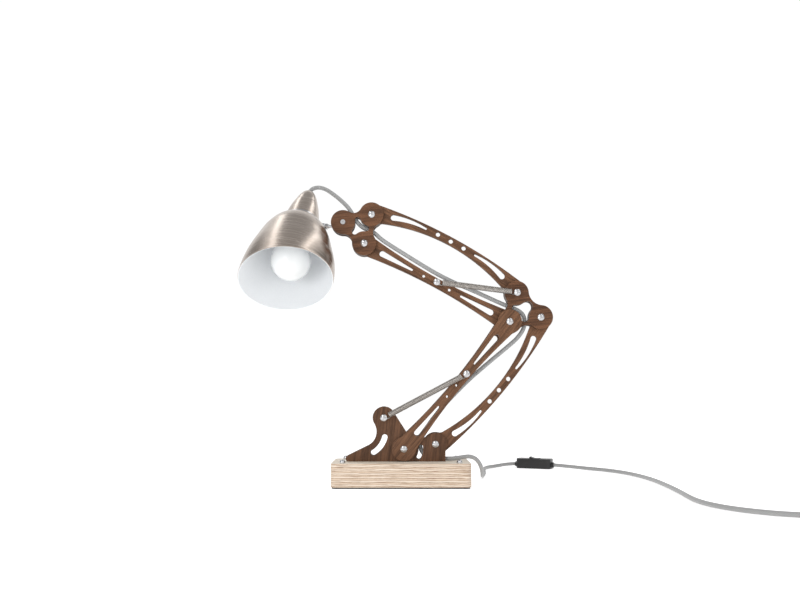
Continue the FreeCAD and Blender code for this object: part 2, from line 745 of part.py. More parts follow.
def biarc(start, heading, end, leaving):
    """Two arcs that leave start along heading and arrive at end along leaving."""
    gap = end - start
    turn = 2 * (1 - heading.dot(leaving))
    pull = gap.dot(heading + leaving)
    if turn < 1e-6:
        reach = gap.dot(gap) / (2 * pull)
    else:
        reach = (math.sqrt(pull * pull + turn * gap.dot(gap)) - pull) / turn
    joint = (start + heading * reach + end - leaving * reach) / 2
    return tangent_arc(start, heading, joint) + reversed_arc(end, leaving, joint)


def tangent_arc(start, heading, end):
    chord = end - start
    across = heading - unit(chord) * heading.dot(unit(chord))
    if across.Length < 1e-6:
        return [line(start, end)]
    half_turn = math.acos(max(-1, min(1, heading.dot(unit(chord)))))
    swell = chord.Length / 2 * math.tan(half_turn / 2)
    return [arc(start, start + chord / 2 + unit(across) * swell, end)]


def reversed_arc(end, leaving, joint):
    back = tangent_arc(end, leaving * -1, joint)[0]
    if isinstance(back, Part.LineSegment):
        return [line(joint, end)]
    middle = back.value((back.FirstParameter + back.LastParameter) / 2)
    return [arc(joint, middle, end)]


def smooth_wire(stations):
    """Wire of biarcs through stations, each a point and a heading."""
    edges = []
    for (point, heading), (following, leaving) in zip(stations, stations[1:]):
        edges += [curve.toShape() for curve in biarc(point, unit(heading), following, unit(leaving))]
    return Part.Wire(edges)


def section_at(point, heading, radius, sides):
    heading = unit(heading)
    side = heading.cross(Vector(0, 0, 1))
    side = unit(side) if side.Length > 0.1 else unit(heading.cross(Vector(0, 1, 0)))
    other = heading.cross(side)
    corners = []
    for k in range(sides):
        angle = 2 * math.pi * (k + 0.5) / sides
        corners.append(point + (side * math.cos(angle) + other * math.sin(angle)) * radius)
    return Part.Wire(Part.makePolygon(corners + corners[:1]).Edges)


def tube_along(wire, point, heading, radius, sides):
    shell = Part.BRepOffsetAPI.MakePipeShell(wire)
    shell.add(section_at(point, heading, radius, sides))
    if not shell.isReady():
        raise RuntimeError("the tube's path can't be followed")
    shell.build()
    shell.makeSolid()
    solid = shell.shape()
    if solid.Volume < 0:
        solid.reverse()
    return solid


def least_gap(points, thickness, skip):
    """Least gap of a tube to itself, on points along it, leaving out its near neighbours."""
    least = 1e9
    for i, point in enumerate(points):
        for other in points[i + skip:]:
            least = min(least, (point - other).Length)
    return least - thickness


WIRE_SIDES = 4


def make_spring(label, first, second, level):
    """Tension spring between two screws: an end loop round each and one unbroken run of turns."""
    start = Vector(first.x, -level, first.y)
    end = Vector(second.x, -level, second.y)
    axis = unit(end - start)
    side = unit(axis.cross(Vector(0, 1, 0)))
    across = Vector(0, 1, 0)
    hook = size("hook_radius")
    lead = size("hook_length")
    radius = size("coil_radius")
    body_length = (end - start).Length - 2 * lead
    turns = max(2, round(body_length / size("spring_pitch")))
    pitch = body_length / turns

    def on_loop(centre, degrees):
        angle = math.radians(degrees)
        place = centre + (axis * math.cos(angle) + side * math.sin(angle)) * hook
        return place, axis * -math.sin(angle) + side * math.cos(angle)

    def on_turn(angle):
        around = side * -math.cos(angle) + across * math.sin(angle)
        heading = side * math.sin(angle) + across * math.cos(angle)
        place = start + axis * (lead + pitch * angle / (2 * math.pi)) + around * radius
        return place, heading * radius + axis * (pitch / (2 * math.pi))

    stations = [on_loop(start, a) for a in (35, 90, 180, 270)]
    stations += [on_turn(math.pi / 2 * k) for k in range(4 * turns + 1)]
    stations += [on_loop(end, a) for a in (270, 360, 450, 505)]
    wire = smooth_wire(stations)
    piece = doc.addObject("Part::Feature", label)
    piece.Shape = tube_along(wire, *stations[0], size("wire_radius"), WIRE_SIDES)
    keep(piece, label)
    points = wire.discretize(Distance=0.7)
    print(label, "turns", turns, "pitch", round(pitch, 2), "least gap",
          round(least_gap(points, 2 * size("wire_radius"), 6), 2))


def make_springs():
    plate_face = layer + wood / 2
    link_face = 2 * layer + wood / 2
    lower_level = link_face + size("spring_offset")
    upper_level = plate_face + size("spring_offset")
    group("post_spring_screw", [spring_screw(post, plate_face, lower_level, plate_face)])
    group("link_spring_screw", [spring_screw(lower_hook, link_face, lower_level, wood - link_face)])
    group("elbow_spring_screw", [spring_screw(elbow_top, plate_face, upper_level, plate_face)])
    group("forearm_spring_screw", [spring_screw(upper_hook, wood / 2, upper_level, wood / 2)])
    make_spring("lower_spring", post, lower_hook, lower_level)
    make_spring("upper_spring", upper_hook, elbow_top, upper_level)


# The shade hangs on a steel stem: turned about the stem and leant about the bracket's screw

stem_axis = head_pivot - flat(0, size("stem_drop"))
bracket = stem_axis - flat(size("stem_length"), 0)
shade_turn = Rotation(Vector(1, 0, 0), -size("shade_roll"))
shade_lean = Rotation(Vector(0, 1, 0), size("shade_lean"))
stem_place = Placement(Vector(bracket.x, 0, bracket.y), shade_turn)
# shade frame: Z up the shade's axis from its mouth, X towards the bracket, Y along the bracket's screw
shade_place = stem_place.multiply(Placement(Vector(0, 0, 0), shade_lean)).multiply(
    Placement(Vector(-size("bracket_reach"), 0, -size("shade_length") - size("bracket_station")), Rotation())
)


def turned(label, points, place):
    """A piece turned about the shade's axis: its half section as straight runs and arcs."""
    body = part_body(label)
    edges = []
    for step in points:
        edges.append(line(*step) if len(step) == 2 else arc(*step))
    sketch = sketch_on(body, "XZ_Plane", label + "_section", edges)
    revolve(body, sketch, "Z_Axis")
    body.Placement = place
    return body


def closed(*corners):
    return [(corners[i], corners[(i + 1) % len(corners)]) for i in range(len(corners))]


def make_shade():
    mouth = size("shade_radius")
    rim = size("shade_rim_height")
    belly = size("shade_belly")
    station = size("shade_belly_station")
    edge = size("shade_edge")
    edge_station = size("shade_length") - size("shade_shoulder")
    top = size("shade_length")
    neck = size("shade_neck")
    wall = size("shade_wall")
    bore = size("nipple_radius") + size("tenon_gap")

    def bell(inset):
        low = flat(mouth - inset, 0)
        first = flat(mouth - 1 - inset, rim)
        second = flat(belly - inset, station)
        third = flat(edge - inset, edge_station - inset / 2)
        last = flat(neck, top - inset)
        swell = (first + second) / 2 + flat(1.8, 0.4)
        flare = (second + third) / 2 + flat(0.7, 0.2)
        shoulder = (third + last) / 2 + flat(1.6, 1.6)
        return low, first, swell, second, flare, third, shoulder, last

    low, first, swell, second, flare, third, shoulder, last = bell(0)
    inner = bell(wall)
    turned("shade", [
        (low, first), (first, swell, second), (second, flare, third), (third, shoulder, last),
        (last, flat(bore, top)), (flat(bore, top), flat(bore, top - wall)), (flat(bore, top - wall), inner[7]),
        (inner[7], inner[6], inner[5]), (inner[5], inner[4], inner[3]), (inner[3], inner[2], inner[1]),
        (inner[1], inner[0]), (inner[0], low),
    ], shade_place)
    foot = size("cap_foot")
    crease = size("cap_step")
    crease_radius = size("cap_step_radius")
    head = size("cap_length")
    crown = size("cap_top_radius")
    cord_bore = size("gland_radius") + size("tenon_gap")
    turned("shade_cap", closed(
        flat(neck, top), flat(neck, top + foot), flat(crease_radius + 0.8, top + crease - 0.6),
        flat(crease_radius, top + crease), flat(crown, top + head), flat(cord_bore, top + head),
        flat(cord_bore, top + head - 1.2), flat(crown - 0.6, top + head - 1.2),
        flat(crease_radius - 1.3, top + crease), flat(neck - 1.3, top + foot), flat(neck - 1.3, top),
    ), shade_place)
    gland = size("gland_radius")
    bush = size("cord_radius") + size("tenon_gap")
    turned("cord_gland", closed(
        flat(bush, top + head - 6), flat(gland, top + head - 6), flat(gland, top + head),
        flat(gland + 1.4, top + head), flat(gland + 0.4, top + head + 3), flat(bush, top + head + 3),
    ), shade_place)
    holder = size("holder_radius")
    depth = size("holder_length")
    socket = size("bulb_neck_radius") + 0.5
    nipple = size("nipple_radius")
    socket_depth = size("socket_depth")
    turned("lamp_holder", closed(
        flat(socket, top - wall - depth), flat(holder + 1.2, top - wall - depth),
        flat(holder + 1.2, top - wall - depth + 9), flat(holder, top - wall - depth + 10),
        flat(holder, top - wall - 5), flat(holder - 3, top - wall), flat(nipple, top - wall),
        flat(nipple, top + 5), flat(0, top + 5), flat(0, top - wall - depth + socket_depth),
        flat(socket, top - wall - depth + socket_depth),
    ), shade_place)
    turned("holder_nut", closed(
        flat(nipple + 0.05, top), flat(nipple + 4, top), flat(nipple + 4, top + 3), flat(nipple + 0.05, top + 3),
    ), shade_place)
    globe = size("bulb_radius")
    centre = size("bulb_station")
    throat = size("bulb_neck_radius")
    base_end = top - wall - depth + 3
    slope = math.radians(48)
    leave = flat(globe * math.sin(slope), centre + globe * math.cos(slope))
    glass = size("bulb_wall")
    inner_globe = globe - glass
    inner_leave = flat(inner_globe * math.sin(slope), centre + inner_globe * math.cos(slope))
    turned("bulb_globe", [
        (flat(0, centre - globe), flat(globe, centre), leave),
        (leave, (leave + flat(throat, base_end)) / 2 + flat(-1.2, -0.6), flat(throat, base_end)),
        (flat(throat, base_end), flat(throat - glass, base_end)),
        (flat(throat - glass, base_end), (inner_leave + flat(throat - glass, base_end)) / 2 + flat(-1.2, -0.6),
         inner_leave),
        (inner_leave, flat(inner_globe, centre), flat(0, centre - inner_globe)),
        (flat(0, centre - inner_globe), flat(0, centre - globe)),
    ], shade_place)
    contact = base_end + size("bulb_base_length")
    turned("bulb_base", closed(
        flat(0, base_end), flat(throat, base_end), flat(throat, contact - 5.5), flat(throat - 4, contact - 2.5),
        flat(throat / 3, contact - 1.5), flat(throat / 3, contact), flat(0, contact),
    ), shade_place)


def make_bracket():
    """Steel ring round the cap's foot with an ear, the ear's screw, and the stem with its fork."""
    top = size("shade_length")
    neck = size("shade_neck")
    plate = size("ear_thickness")
    clear = size("tenon_gap")
    ring_piece = part_body("shade_bracket")
    outer = neck + 1.7
    low = top + 0.3
    high = low + size("ear_height")
    section = [line(a, b) for a, b in closed(flat(neck + clear, low), flat(outer, low),
                                             flat(outer, high), flat(neck + clear, high))]
    revolve(ring_piece, sketch_on(ring_piece, "XZ_Plane", "bracket_section", section), "Z_Axis")
    eye = size("ear_radius")
    place = flat(size("bracket_reach"), top + size("bracket_station"))
    inner = neck + 0.8
    tab = [
        line(flat(inner, place.y - eye), place - flat(0, eye)),
        arc(place - flat(0, eye), place + flat(eye, 0), place + flat(0, eye)),
        line(place + flat(0, eye), flat(inner, place.y + eye)),
        line(flat(inner, place.y + eye), flat(inner, place.y - eye)),
        circle(place, size("ear_screw") + size("tenon_gap")),
    ]
    sketch = sketch_on(ring_piece, "XZ_Plane", "bracket_ear", tab)
    pad(ring_piece, sketch, cell("ear_thickness"), middle=True)
    ring_piece.Placement = shade_place
    screw = size("ear_screw")
    fork = size("fork_thickness")
    reach_y = plate / 2 + 0.3 + fork
    stem_frame = Placement(Vector(0, 0, 0), Rotation())
    rod_start = size("ear_radius") + 3.2
    rod = Part.makeCylinder(size("stem_radius"), size("stem_length") + size("stem_seat") - rod_start,
                            Vector(rod_start, 0, 0), Vector(1, 0, 0))
    yoke = Part.makeCylinder(reach_y, 3.4, Vector(rod_start - 1.2, 0, 0), Vector(1, 0, 0))
    solids = rod.fuse(yoke)
    for way in (-1, 1):
        ear = Part.makeCylinder(eye - 0.4, fork, Vector(0, 0, 0), Vector(0, 1, 0))
        arm = Part.makeBox(rod_start, fork, 2 * (eye - 1.2), Vector(0, 0, -(eye - 1.2)))
        ear = ear.fuse(arm)
        ear.translate(Vector(0, plate / 2 + 0.3 if way > 0 else -reach_y, 0))
        solids = solids.fuse(ear)
    collar = Part.makeCylinder(size("stem_radius") + 1.2, 1.5,
                               Vector(size("stem_length") + size("stem_seat") - 0.2, 0, 0), Vector(1, 0, 0))
    solids = solids.fuse(collar)
    bore = Part.makeCylinder(screw, 4 * reach_y, Vector(0, -2 * reach_y, 0), Vector(0, 1, 0))
    stem = doc.addObject("Part::Feature", "stem")
    stem.Shape = solids.cut(bore).removeSplitter()
    stem.Placement = stem_place
    keep(stem, "stem")
    pin = Part.makeCylinder(screw, 2 * reach_y, Vector(0, -reach_y, 0), Vector(0, 1, 0))
    head = dome(3.4, 1.8, Vector(0, -reach_y, 0), Vector(0, -1, 0))
    tail = dome(3.4, 1.8, Vector(0, reach_y, 0), Vector(0, 1, 0))
    knuckle = doc.addObject("Part::Feature", "knuckle_screw")
    knuckle.Shape = pin.fuse([head, tail]).removeSplitter()
    knuckle.Placement = stem_place
    keep(knuckle, "knuckle_screw")
    half = layer - wood / 2 - 0.05
    disc = ring(head_pivot, size("head_block_radius"), size("screw_radius") + 0.05, -half, half)
    hole = Part.makeCylinder(size("stem_radius") + size("stem_fit"), 60,
                             Vector(head_pivot.x - 30, 0, stem_axis.y), Vector(1, 0, 0))
    group("head_block", [disc.cut(hole)])


# The lead

def tube(label, points, radius):
    """Tube along straight runs joined by arcs as large as the runs allow."""
    runs = [(b - a).Length for a, b in zip(points, points[1:])]
    edges = []
    radii = []
    last = points[0]
    for index in range(1, len(points) - 1):
        before = unit(points[index] - points[index - 1])
        after = unit(points[index + 1] - points[index])
        half_turn = math.acos(max(-1, min(1, before.dot(after)))) / 2
        setback = 0.45 * min(runs[index - 1], runs[index])
        bend = setback / math.tan(half_turn)
        radii.append(bend)
        start = points[index] - before * setback
        end = points[index] + after * setback
        inward = unit(after - before)
        centre = points[index] + inward * (bend / math.cos(half_turn))
        edges.append(Part.LineSegment(last, start).toShape())
        edges.append(Part.Arc(start, centre - inward * bend, end).toShape())
        last = end
    edges.append(Part.LineSegment(last, points[-1]).toShape())
    wire = Part.Wire(edges)
    solid = tube_along(wire, points[0], points[1] - points[0], radius, CORD_SIDES)
    section = CORD_SIDES / 2 * radius ** 2 * math.sin(2 * math.pi / CORD_SIDES)
    print(label, "length", round(wire.Length), "least radius", round(min(radii), 1), "radii",
          [round(r) for r in radii], "volume ratio", round(solid.Volume / (section * wire.Length), 4))
    piece = doc.addObject("Part::Feature", label)
    piece.Shape = solid
    return keep(piece, label)


CORD_SIDES = 8


def space(*numbers):
    return Vector(*numbers)


def make_held_cord():
    """The lead's own route from the shade's cap to the base, between the plates and links."""
    radius = size("cord_radius")
    up = shade_place.Rotation.multVec(Vector(0, 0, 1))
    tip = shade_place.multVec(Vector(0, 0, size("shade_length") + size("cap_length") - 4))
    # the lead bends over tightly where it leaves the bush, evenly from the cap's axis to its way onwards
    onward = unit(space(0.943, -0.25, -0.2))
    whole = math.acos(up.dot(onward))
    route = [tip, tip + up * 11]
    for third in (1, 2, 3):
        part_turn = whole * third / 3
        heading = (up * math.sin(whole - part_turn) + onward * math.sin(part_turn)) / math.sin(whole)
        route.append(route[-1] + heading * (7.5 if third < 3 else 7))
    over_cap = len(route)
    route += [
        route[-1] + space(8.5, -3.5, -3.8), space(-98.5, 38, 440.5), space(-87, 22, 427.5),
        space(-79.5, 7, 417.5), space(-73.8, 0.2, 408),
    ]
    past_neck = len(route)
    route += [
        space(-66.5, 0, 394.5), space(-56.5, 0, 384.8), space(-41.5, 0, 379.9), space(-29.5, 0, 368.2),
        space(-16, 0, 359.3), space(4, 0, 346.8),
    ]
    past_head = len(route)
    route += [
        space(30, 0, 330.6), space(58, 0, 314), space(86, 0, 300.6), space(112.5, 0, 289.5),
        space(134.5, 0, 279.2), space(154.5, 0, 270.2),
    ]
    along_forearm = len(route)
    route += [
        space(179.5, 0, 260.7), space(185.9, 0, 249.5), space(184.6, 0, 234.5), space(174.5, 0, 220),
        space(160, 0, 207.5), space(143.5, 0, 193.8), space(124.5, 0, 177.8),
    ]
    past_elbow = len(route)
    route += [
        space(103, 0, 159.2), space(82.5, 0, 138.8), space(65.5, 0, 120.8), space(50.5, 0, 103.5),
        space(38.8, 0, 87), space(30.2, 0, 72.3),
    ]
    down_arm = len(route)
    route += [
        space(27.9, 0, 58.2), space(33.4, 0, 45.9), space(44.8, 0, 39.9), space(56.8, 0, 39.7), space(67.5, 0, 39.75),
    ]
    # one piece on each moving body, parted square across the middle of a straight run
    cuts = (0, over_cap, past_neck, past_head, along_forearm, past_elbow, down_arm, len(route))
    names = ("cord_at_cap", "cord_at_neck", "cord_at_head", "cord_on_forearm", "cord_at_elbow",
             "cord_in_lower_arm", "cord_at_foot")
    for name, first, last in zip(names, cuts, cuts[1:]):
        points = route[first:last]
        if first:
            points.insert(0, (route[first - 1] + route[first]) / 2)
        if last < len(route):
            points.append((route[last - 1] + route[last]) / 2)
        tube(name, points, radius)
    return route[-1]


SWITCH_MIDDLE = Vector(247, 300, 0)
SWITCH_TURN = -25
COIL_MIDDLE = Vector(545, -300, 0)
COIL_TURNS = 2


def make_free_cord(start):
    """The lead on the table: to the switch, round to the front, and to the stored turns and the plug."""
    radius = size("cord_radius")
    low = radius + 0.1
    half = size("switch_length") / 2 + size("relief_stub")
    heading = Rotation(Vector(0, 0, 1), SWITCH_TURN).multVec(Vector(1, 0, 0))
    enter = SWITCH_MIDDLE - heading * half + Vector(0, 0, size("switch_axis"))
    leave = SWITCH_MIDDLE + heading * half + Vector(0, 0, size("switch_axis"))
    first = [
        start, start + space(13, 0, 0.0607), space(93, 3, 42), space(104.5, 9.5, 43.2),
        space(116, 19.5, 39), space(126, 31, 29), space(133.5, 46, 17.5), space(138.5, 65, 8.2),
        space(141, 88, 4), space(139.5, 116, low), space(135.5, 148, low + 0.1), space(132.5, 182, low),
        space(133.5, 216, low), space(139.5, 247, low + 0.1), space(146.5, 271, low), space(157.5, 291, low),
        space(172, 307, low), space(187, 317.5, low + 1.4), enter - heading * 13 + space(0, 0, -0.6), enter,
    ]
    tube("cord_to_switch", first, radius)
    coil_start, coil_end = coil_stations()[0], coil_stations()[-1]
    second = [
        leave, leave + heading * 13 + space(0, 0, -0.6), space(318, 268.5, low + 1.1), space(338, 252, low),
        space(356.5, 228, low), space(371, 198, low), space(381.5, 163, low), space(388, 122, low),
        space(391, 79, low), space(391.3, 34, low), space(389, -12, low), space(385.5, -58, low),
        space(381.5, -101, low), space(376.5, -143, low), space(371.5, -183, low), space(368.5, -221, low),
        space(371.5, -257, low), space(381.5, -290, low), space(398.5, -318, low), space(421, -339.5, low),
        space(447, -351.5, low), space(474, -356, low),
        space(500, coil_start[0].y - 0.6, low), space(523, coil_start[0].y, low), coil_start[0],
    ]
    tube("cord_to_coil", second, radius)
    third_end = coil_end[0]
    heading_out = unit(coil_end[1])
    third = [
        third_end, third_end + heading_out * 8, third_end + space(22, 3.5, -3.2),
        third_end + space(36, 11, -6), space(plug_back().x - 26, plug_back().y - 5, low + 1.6),
        plug_back() - space(12, 0, 0), plug_back(),
    ]
    tube("cord_to_plug", third, radius)


def coil_stations():
    """Two layers of turns, spiralling in below and out above, with the climb where they reverse."""
    low = size("cord_radius") + 0.1
    rise = 2 * size("cord_radius") + size("coil_layer_gap")
    inner = size("coil_mean")
    step = size("coil_step")
    turns = COIL_TURNS
    quarter = math.pi / 2
    stations = []
    total = 8 * turns + 4
    for k in range(total + 1):
        angle = quarter * k
        if k <= 4 * turns:
            radius = inner + step * (turns - k / 4)
            slope = -step / (2 * math.pi)
            height, climb = low, 0
        elif k < 4 * turns + 2:
            radius, slope = inner, 0
            height, climb = low + rise / 2, rise / math.pi
        else:
            radius = inner + step * (k - 4 * turns - 2) / 4
            slope = step / (2 * math.pi)
            height, climb = low + rise, 0
        turn = angle - quarter
        outward = Vector(math.cos(turn), math.sin(turn), 0)
        around = Vector(-math.sin(turn), math.cos(turn), 0)
        place = COIL_MIDDLE + outward * radius + Vector(0, 0, height)
        stations.append((place, around * radius + outward * slope + Vector(0, 0, climb)))
    first_place, _ = stations[0]
    stations[0] = (first_place, Vector(1, 0, 0))
    return stations


def make_coil():
    stations = coil_stations()
    wire = smooth_wire(stations)
    piece = doc.addObject("Part::Feature", "cord_coil")
    piece.Shape = tube_along(wire, *stations[0], size("cord_radius"), CORD_SIDES)
    keep(piece, "cord_coil")
    points = wire.discretize(Distance=3)
    print("cord_coil length", round(wire.Length), "least gap",
          round(least_gap(points, 2 * size("cord_radius"), 12), 2))


def plug_back():
    """Where the lead enters the plug's strain relief, on the far side of the stored turns."""
    end = coil_stations()[-1][0]
    return Vector(end.x + 92, end.y + 24, size("plug_height") / 2)


def make_switch():
    """Switch in the lead: two half shells, the upper with a well for a rocker on a cross pin."""
    length = size("switch_length")
    width = size("switch_width")
    corner = size("switch_corner")
    place = Placement(SWITCH_MIDDLE, Rotation(Vector(0, 0, 1), SWITCH_TURN))
    split = size("switch_axis")
    stub = size("relief_stub")
    outline = rounded_rectangle(length, width, corner)
    lower_shell = part_body("switch_lower_shell")
    pad(lower_shell, sketch_on(lower_shell, "XY_Plane", "lower_shell_outline", outline), cell("switch_axis"))
    bush = circle(flat(0, split), size("cord_radius") + 1.8)
    inner = circle(flat(0, split), size("cord_radius") + size("tenon_gap"))
    lower_shell.Placement = place
    upper_shell = part_body("switch_upper_shell")
    sketch = sketch_on(upper_shell, "XY_Plane", "upper_shell_outline", outline)
    sketch.setExpression("AttachmentOffset.Base.z", cell("switch_axis"))
    pad(upper_shell, sketch, f"{cell('switch_height')} - {cell('switch_axis')}")
    gap = size("rocker_gap")
    well = rectangle(size("rocker_length") + 2 * gap, size("rocker_width") + 2 * gap, flat(0, 0))
    cut = sketch_on(upper_shell, "XY_Plane", "rocker_well", well)
    cut.setExpression("AttachmentOffset.Base.z", cell("switch_height"))
    pocket = upper_shell.newObject("PartDesign::Pocket", "rocker_pocket")
    pocket.Profile = cut
    pocket.setExpression("Length", cell("rocker_well"))
    pin_height = size("switch_height") - size("rocker_pivot_depth")
    hole = sketch_on(upper_shell, "XZ_Plane", "rocker_pin_hole",
                     [circle(flat(0, pin_height), size("rocker_pin") + 0.05)])
    pocket = upper_shell.newObject("PartDesign::Pocket", "rocker_pin_pocket")
    pocket.Profile = hole
    pocket.Midplane = True
    pocket.setExpression("Length", f"{cell('rocker_width')} + 2 * {cell('rocker_pin_reach')} + 0.4")
    upper_shell.Placement = place
    rocker = part_body("switch_rocker")
    half = size("rocker_length") / 2
    top = size("switch_height") + size("rocker_rise")
    floor = size("switch_height") - size("rocker_well") + size("rocker_floor_gap")
    sag = size("rocker_rise") * 0.62
    profile = [
        arc(flat(-half, top), flat(0, top - sag), flat(half, top)),
        line(flat(half, top), flat(half, pin_height - 1)),
        line(flat(half, pin_height - 1), flat(half * 0.3, floor)),
        line(flat(half * 0.3, floor), flat(-half * 0.3, floor)),
        line(flat(-half * 0.3, floor), flat(-half, pin_height - 1)),
        line(flat(-half, pin_height - 1), flat(-half, top)),
    ]
    pad(rocker, sketch_on(rocker, "XZ_Plane", "rocker_profile", profile), cell("rocker_width"), middle=True)
    pin = sketch_on(rocker, "XZ_Plane", "rocker_pin_profile", [circle(flat(0, pin_height), size("rocker_pin"))])
    pad(rocker, pin, f"{cell('rocker_width')} + 2 * {cell('rocker_pin_reach')}", middle=True)
    tilt = Placement(Vector(0, 0, 0), Rotation(Vector(0, 1, 0), size("rocker_tilt")), Vector(0, 0, pin_height))
    rocker.Placement = place.multiply(tilt)
    for way in (-1, 1):
        label = "switch_bush_left" if way < 0 else "switch_bush_right"
        bush_body = part_body(label)
        sketch = sketch_on(bush_body, "YZ_Plane", label + "_ring", [
            circle(flat(0, split), size("cord_radius") + 1.8),
            circle(flat(0, split), size("cord_radius") + size("tenon_gap")),
        ])
        sketch.setExpression("AttachmentOffset.Base.z", f"{cell('switch_length')} / 2" if way > 0
                             else f"-{cell('switch_length')} / 2 - {cell('relief_stub')}")
        pad(bush_body, sketch, cell("relief_stub"))
        bush_body.Placement = place


def make_plug():
    """Two-pin plug lying flat: body with a tapered strain relief, and its two pins."""
    back = plug_back()
    height = size("plug_height")
    relief = size("relief_length")
    length = size("plug_length")
    width = size("plug_width")
    root = flat(back.x + relief, back.y)
    outline = [
        line(root - flat(0, width * 0.28), root + flat(length * 0.35, -width / 2)),
        line(root + flat(length * 0.35, -width / 2), root + flat(length, -width / 2)),
        line(root + flat(length, -width / 2), root + flat(length, width / 2)),
        line(root + flat(length, width / 2), root + flat(length * 0.35, width / 2)),
        line(root + flat(length * 0.35, width / 2), root + flat(0, width * 0.28)),
        line(root + flat(0, width * 0.28), root - flat(0, width * 0.28)),
    ]
    body = part_body("plug_body")
    pad(body, sketch_on(body, "XY_Plane", "plug_outline", outline), cell("plug_height"))
    cone = Part.makeCone(size("cord_radius") + 1.2, height * 0.42, relief, back, Vector(1, 0, 0))
    group("plug_relief", [cone])
    pins = []
    for way in (-1, 1):
        foot = Vector(root.x + length, back.y + way * size("plug_pin_pitch") / 2, height / 2)
        pin = Part.makeCylinder(size("plug_pin_radius"), size("plug_pin_length"), foot, Vector(1, 0, 0))
        tip = Part.makeSphere(size("plug_pin_radius"), foot + Vector(size("plug_pin_length"), 0, 0))
        pins.append(pin.fuse(tip).removeSplitter())
    group("plug_pins", pins)


make_links()
make_joining_plates()
make_foot_plates()
make_base()
make_fasteners()
make_springs()
make_shade()
make_bracket()
make_free_cord(make_held_cord())
make_coil()
make_switch()
make_plug()

# Build and check
doc.recompute()
for item in doc.Objects:
    if {"Invalid", "Error"} & set(item.State):
        raise RuntimeError(f"{item.Label} failed: {item.State}")
os.makedirs("parts", exist_ok=True)
for piece in exported:
    shape = piece.Shape
    if shape.isNull() or not shape.isValid():
        raise RuntimeError(f"{piece.Label} has no valid shape")
    shape.exportStep(f"parts/{piece.Label}.step")
    print(piece.Label, "solids", len(shape.Solids), "volume", round(shape.Volume, 1))
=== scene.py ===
import math

import bmesh
import bpy
from mathutils import Matrix, Quaternion, Vector


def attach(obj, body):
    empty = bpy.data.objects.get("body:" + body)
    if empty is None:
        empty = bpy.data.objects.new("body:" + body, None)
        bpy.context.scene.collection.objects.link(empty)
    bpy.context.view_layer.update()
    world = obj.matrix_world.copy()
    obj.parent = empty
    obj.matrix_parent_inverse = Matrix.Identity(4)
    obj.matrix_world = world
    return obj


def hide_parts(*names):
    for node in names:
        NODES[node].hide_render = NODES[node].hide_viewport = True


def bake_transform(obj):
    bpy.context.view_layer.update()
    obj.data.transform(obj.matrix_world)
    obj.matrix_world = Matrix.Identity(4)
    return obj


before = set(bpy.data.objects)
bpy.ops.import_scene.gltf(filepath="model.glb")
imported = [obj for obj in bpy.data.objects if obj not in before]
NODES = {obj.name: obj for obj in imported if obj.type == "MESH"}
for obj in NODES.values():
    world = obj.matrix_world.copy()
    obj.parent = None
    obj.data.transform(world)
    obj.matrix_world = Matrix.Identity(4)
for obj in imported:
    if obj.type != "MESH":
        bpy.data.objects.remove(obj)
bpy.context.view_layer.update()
MM = 0.001

# Places and sizes repeated from the model's source, in millimetres
FRONT_PIVOT = Vector((4.2, 0, 54.75))
LINK = 246
LOWER, UPPER = math.radians(50.3), math.radians(151.6)
ELBOW = FRONT_PIVOT + Vector((math.cos(LOWER), 0, math.sin(LOWER))) * LINK
HEAD_LOW = ELBOW + Vector((math.cos(UPPER), 0, math.sin(UPPER))) * LINK
HEAD_PIVOT = HEAD_LOW + Vector((-31.5, 0, 31.5))
ELBOW_TOP = ELBOW + Vector((11, 0, 43))
POST = FRONT_PIVOT + Vector((-29.7, 0, 46.5))
HOOK_BEYOND_MIDDLE = 21.8
LOWER_HOOK = FRONT_PIVOT.lerp(ELBOW, (LINK / 2 + HOOK_BEYOND_MIDDLE) / LINK)
UPPER_HOOK = HEAD_LOW.lerp(ELBOW, 0.5)
LOWER_SPRING_LEVEL, UPPER_SPRING_LEVEL = 15.1 + 6, 8.8 + 6
BRACKET = HEAD_PIVOT + Vector((-30.4, 0, -5))
SHADE_ROLL, SHADE_LEAN = math.radians(-39.5), math.radians(5.9)
BRACKET_ON_SHADE = Vector((34, 0, 120))
SHADE_FRAME = (
    Matrix.Translation(BRACKET) @ Matrix.Rotation(SHADE_ROLL, 4, "X")
    @ Matrix.Rotation(SHADE_LEAN, 4, "Y") @ Matrix.Translation(-BRACKET_ON_SHADE)
)
CORD_RADIUS = 3.15
LOW = CORD_RADIUS + 0.1  # height of the lead's line where it lies on the table


# Materials

def new_material(name):
    material = bpy.data.materials.new(name)
    material.use_nodes = True
    nodes = material.node_tree.nodes
    shader = next(n for n in nodes if n.type == "BSDF_PRINCIPLED")
    return material, nodes, material.node_tree.links, shader


def ramp(nodes, links, source, stops):
    """Colour from a value, through (place, colour) stops; a colour given as one number is a grey."""
    node = nodes.new("ShaderNodeValToRGB")
    elements = node.color_ramp.elements
    while len(elements) < len(stops):
        elements.new(0.5)
    for element, (place, colour) in zip(elements, stops):
        element.position = place
        element.color = (*colour, 1) if isinstance(colour, tuple) else (colour, colour, colour, 1)
    links.new(source, node.inputs[0])
    return node.outputs[0]


def coordinates(nodes, links, scale, turn=(0, 0, 0)):
    """The object's own coordinates, first turned so that the grain runs along X, and then scaled."""
    where = nodes.new("ShaderNodeTexCoord")
    turned = nodes.new("ShaderNodeMapping")
    turned.inputs["Rotation"].default_value = turn
    mapping = nodes.new("ShaderNodeMapping")
    mapping.inputs["Scale"].default_value = scale
    links.new(where.outputs["Object"], turned.inputs["Vector"])
    links.new(turned.outputs["Vector"], mapping.inputs["Vector"])
    return mapping.outputs["Vector"]


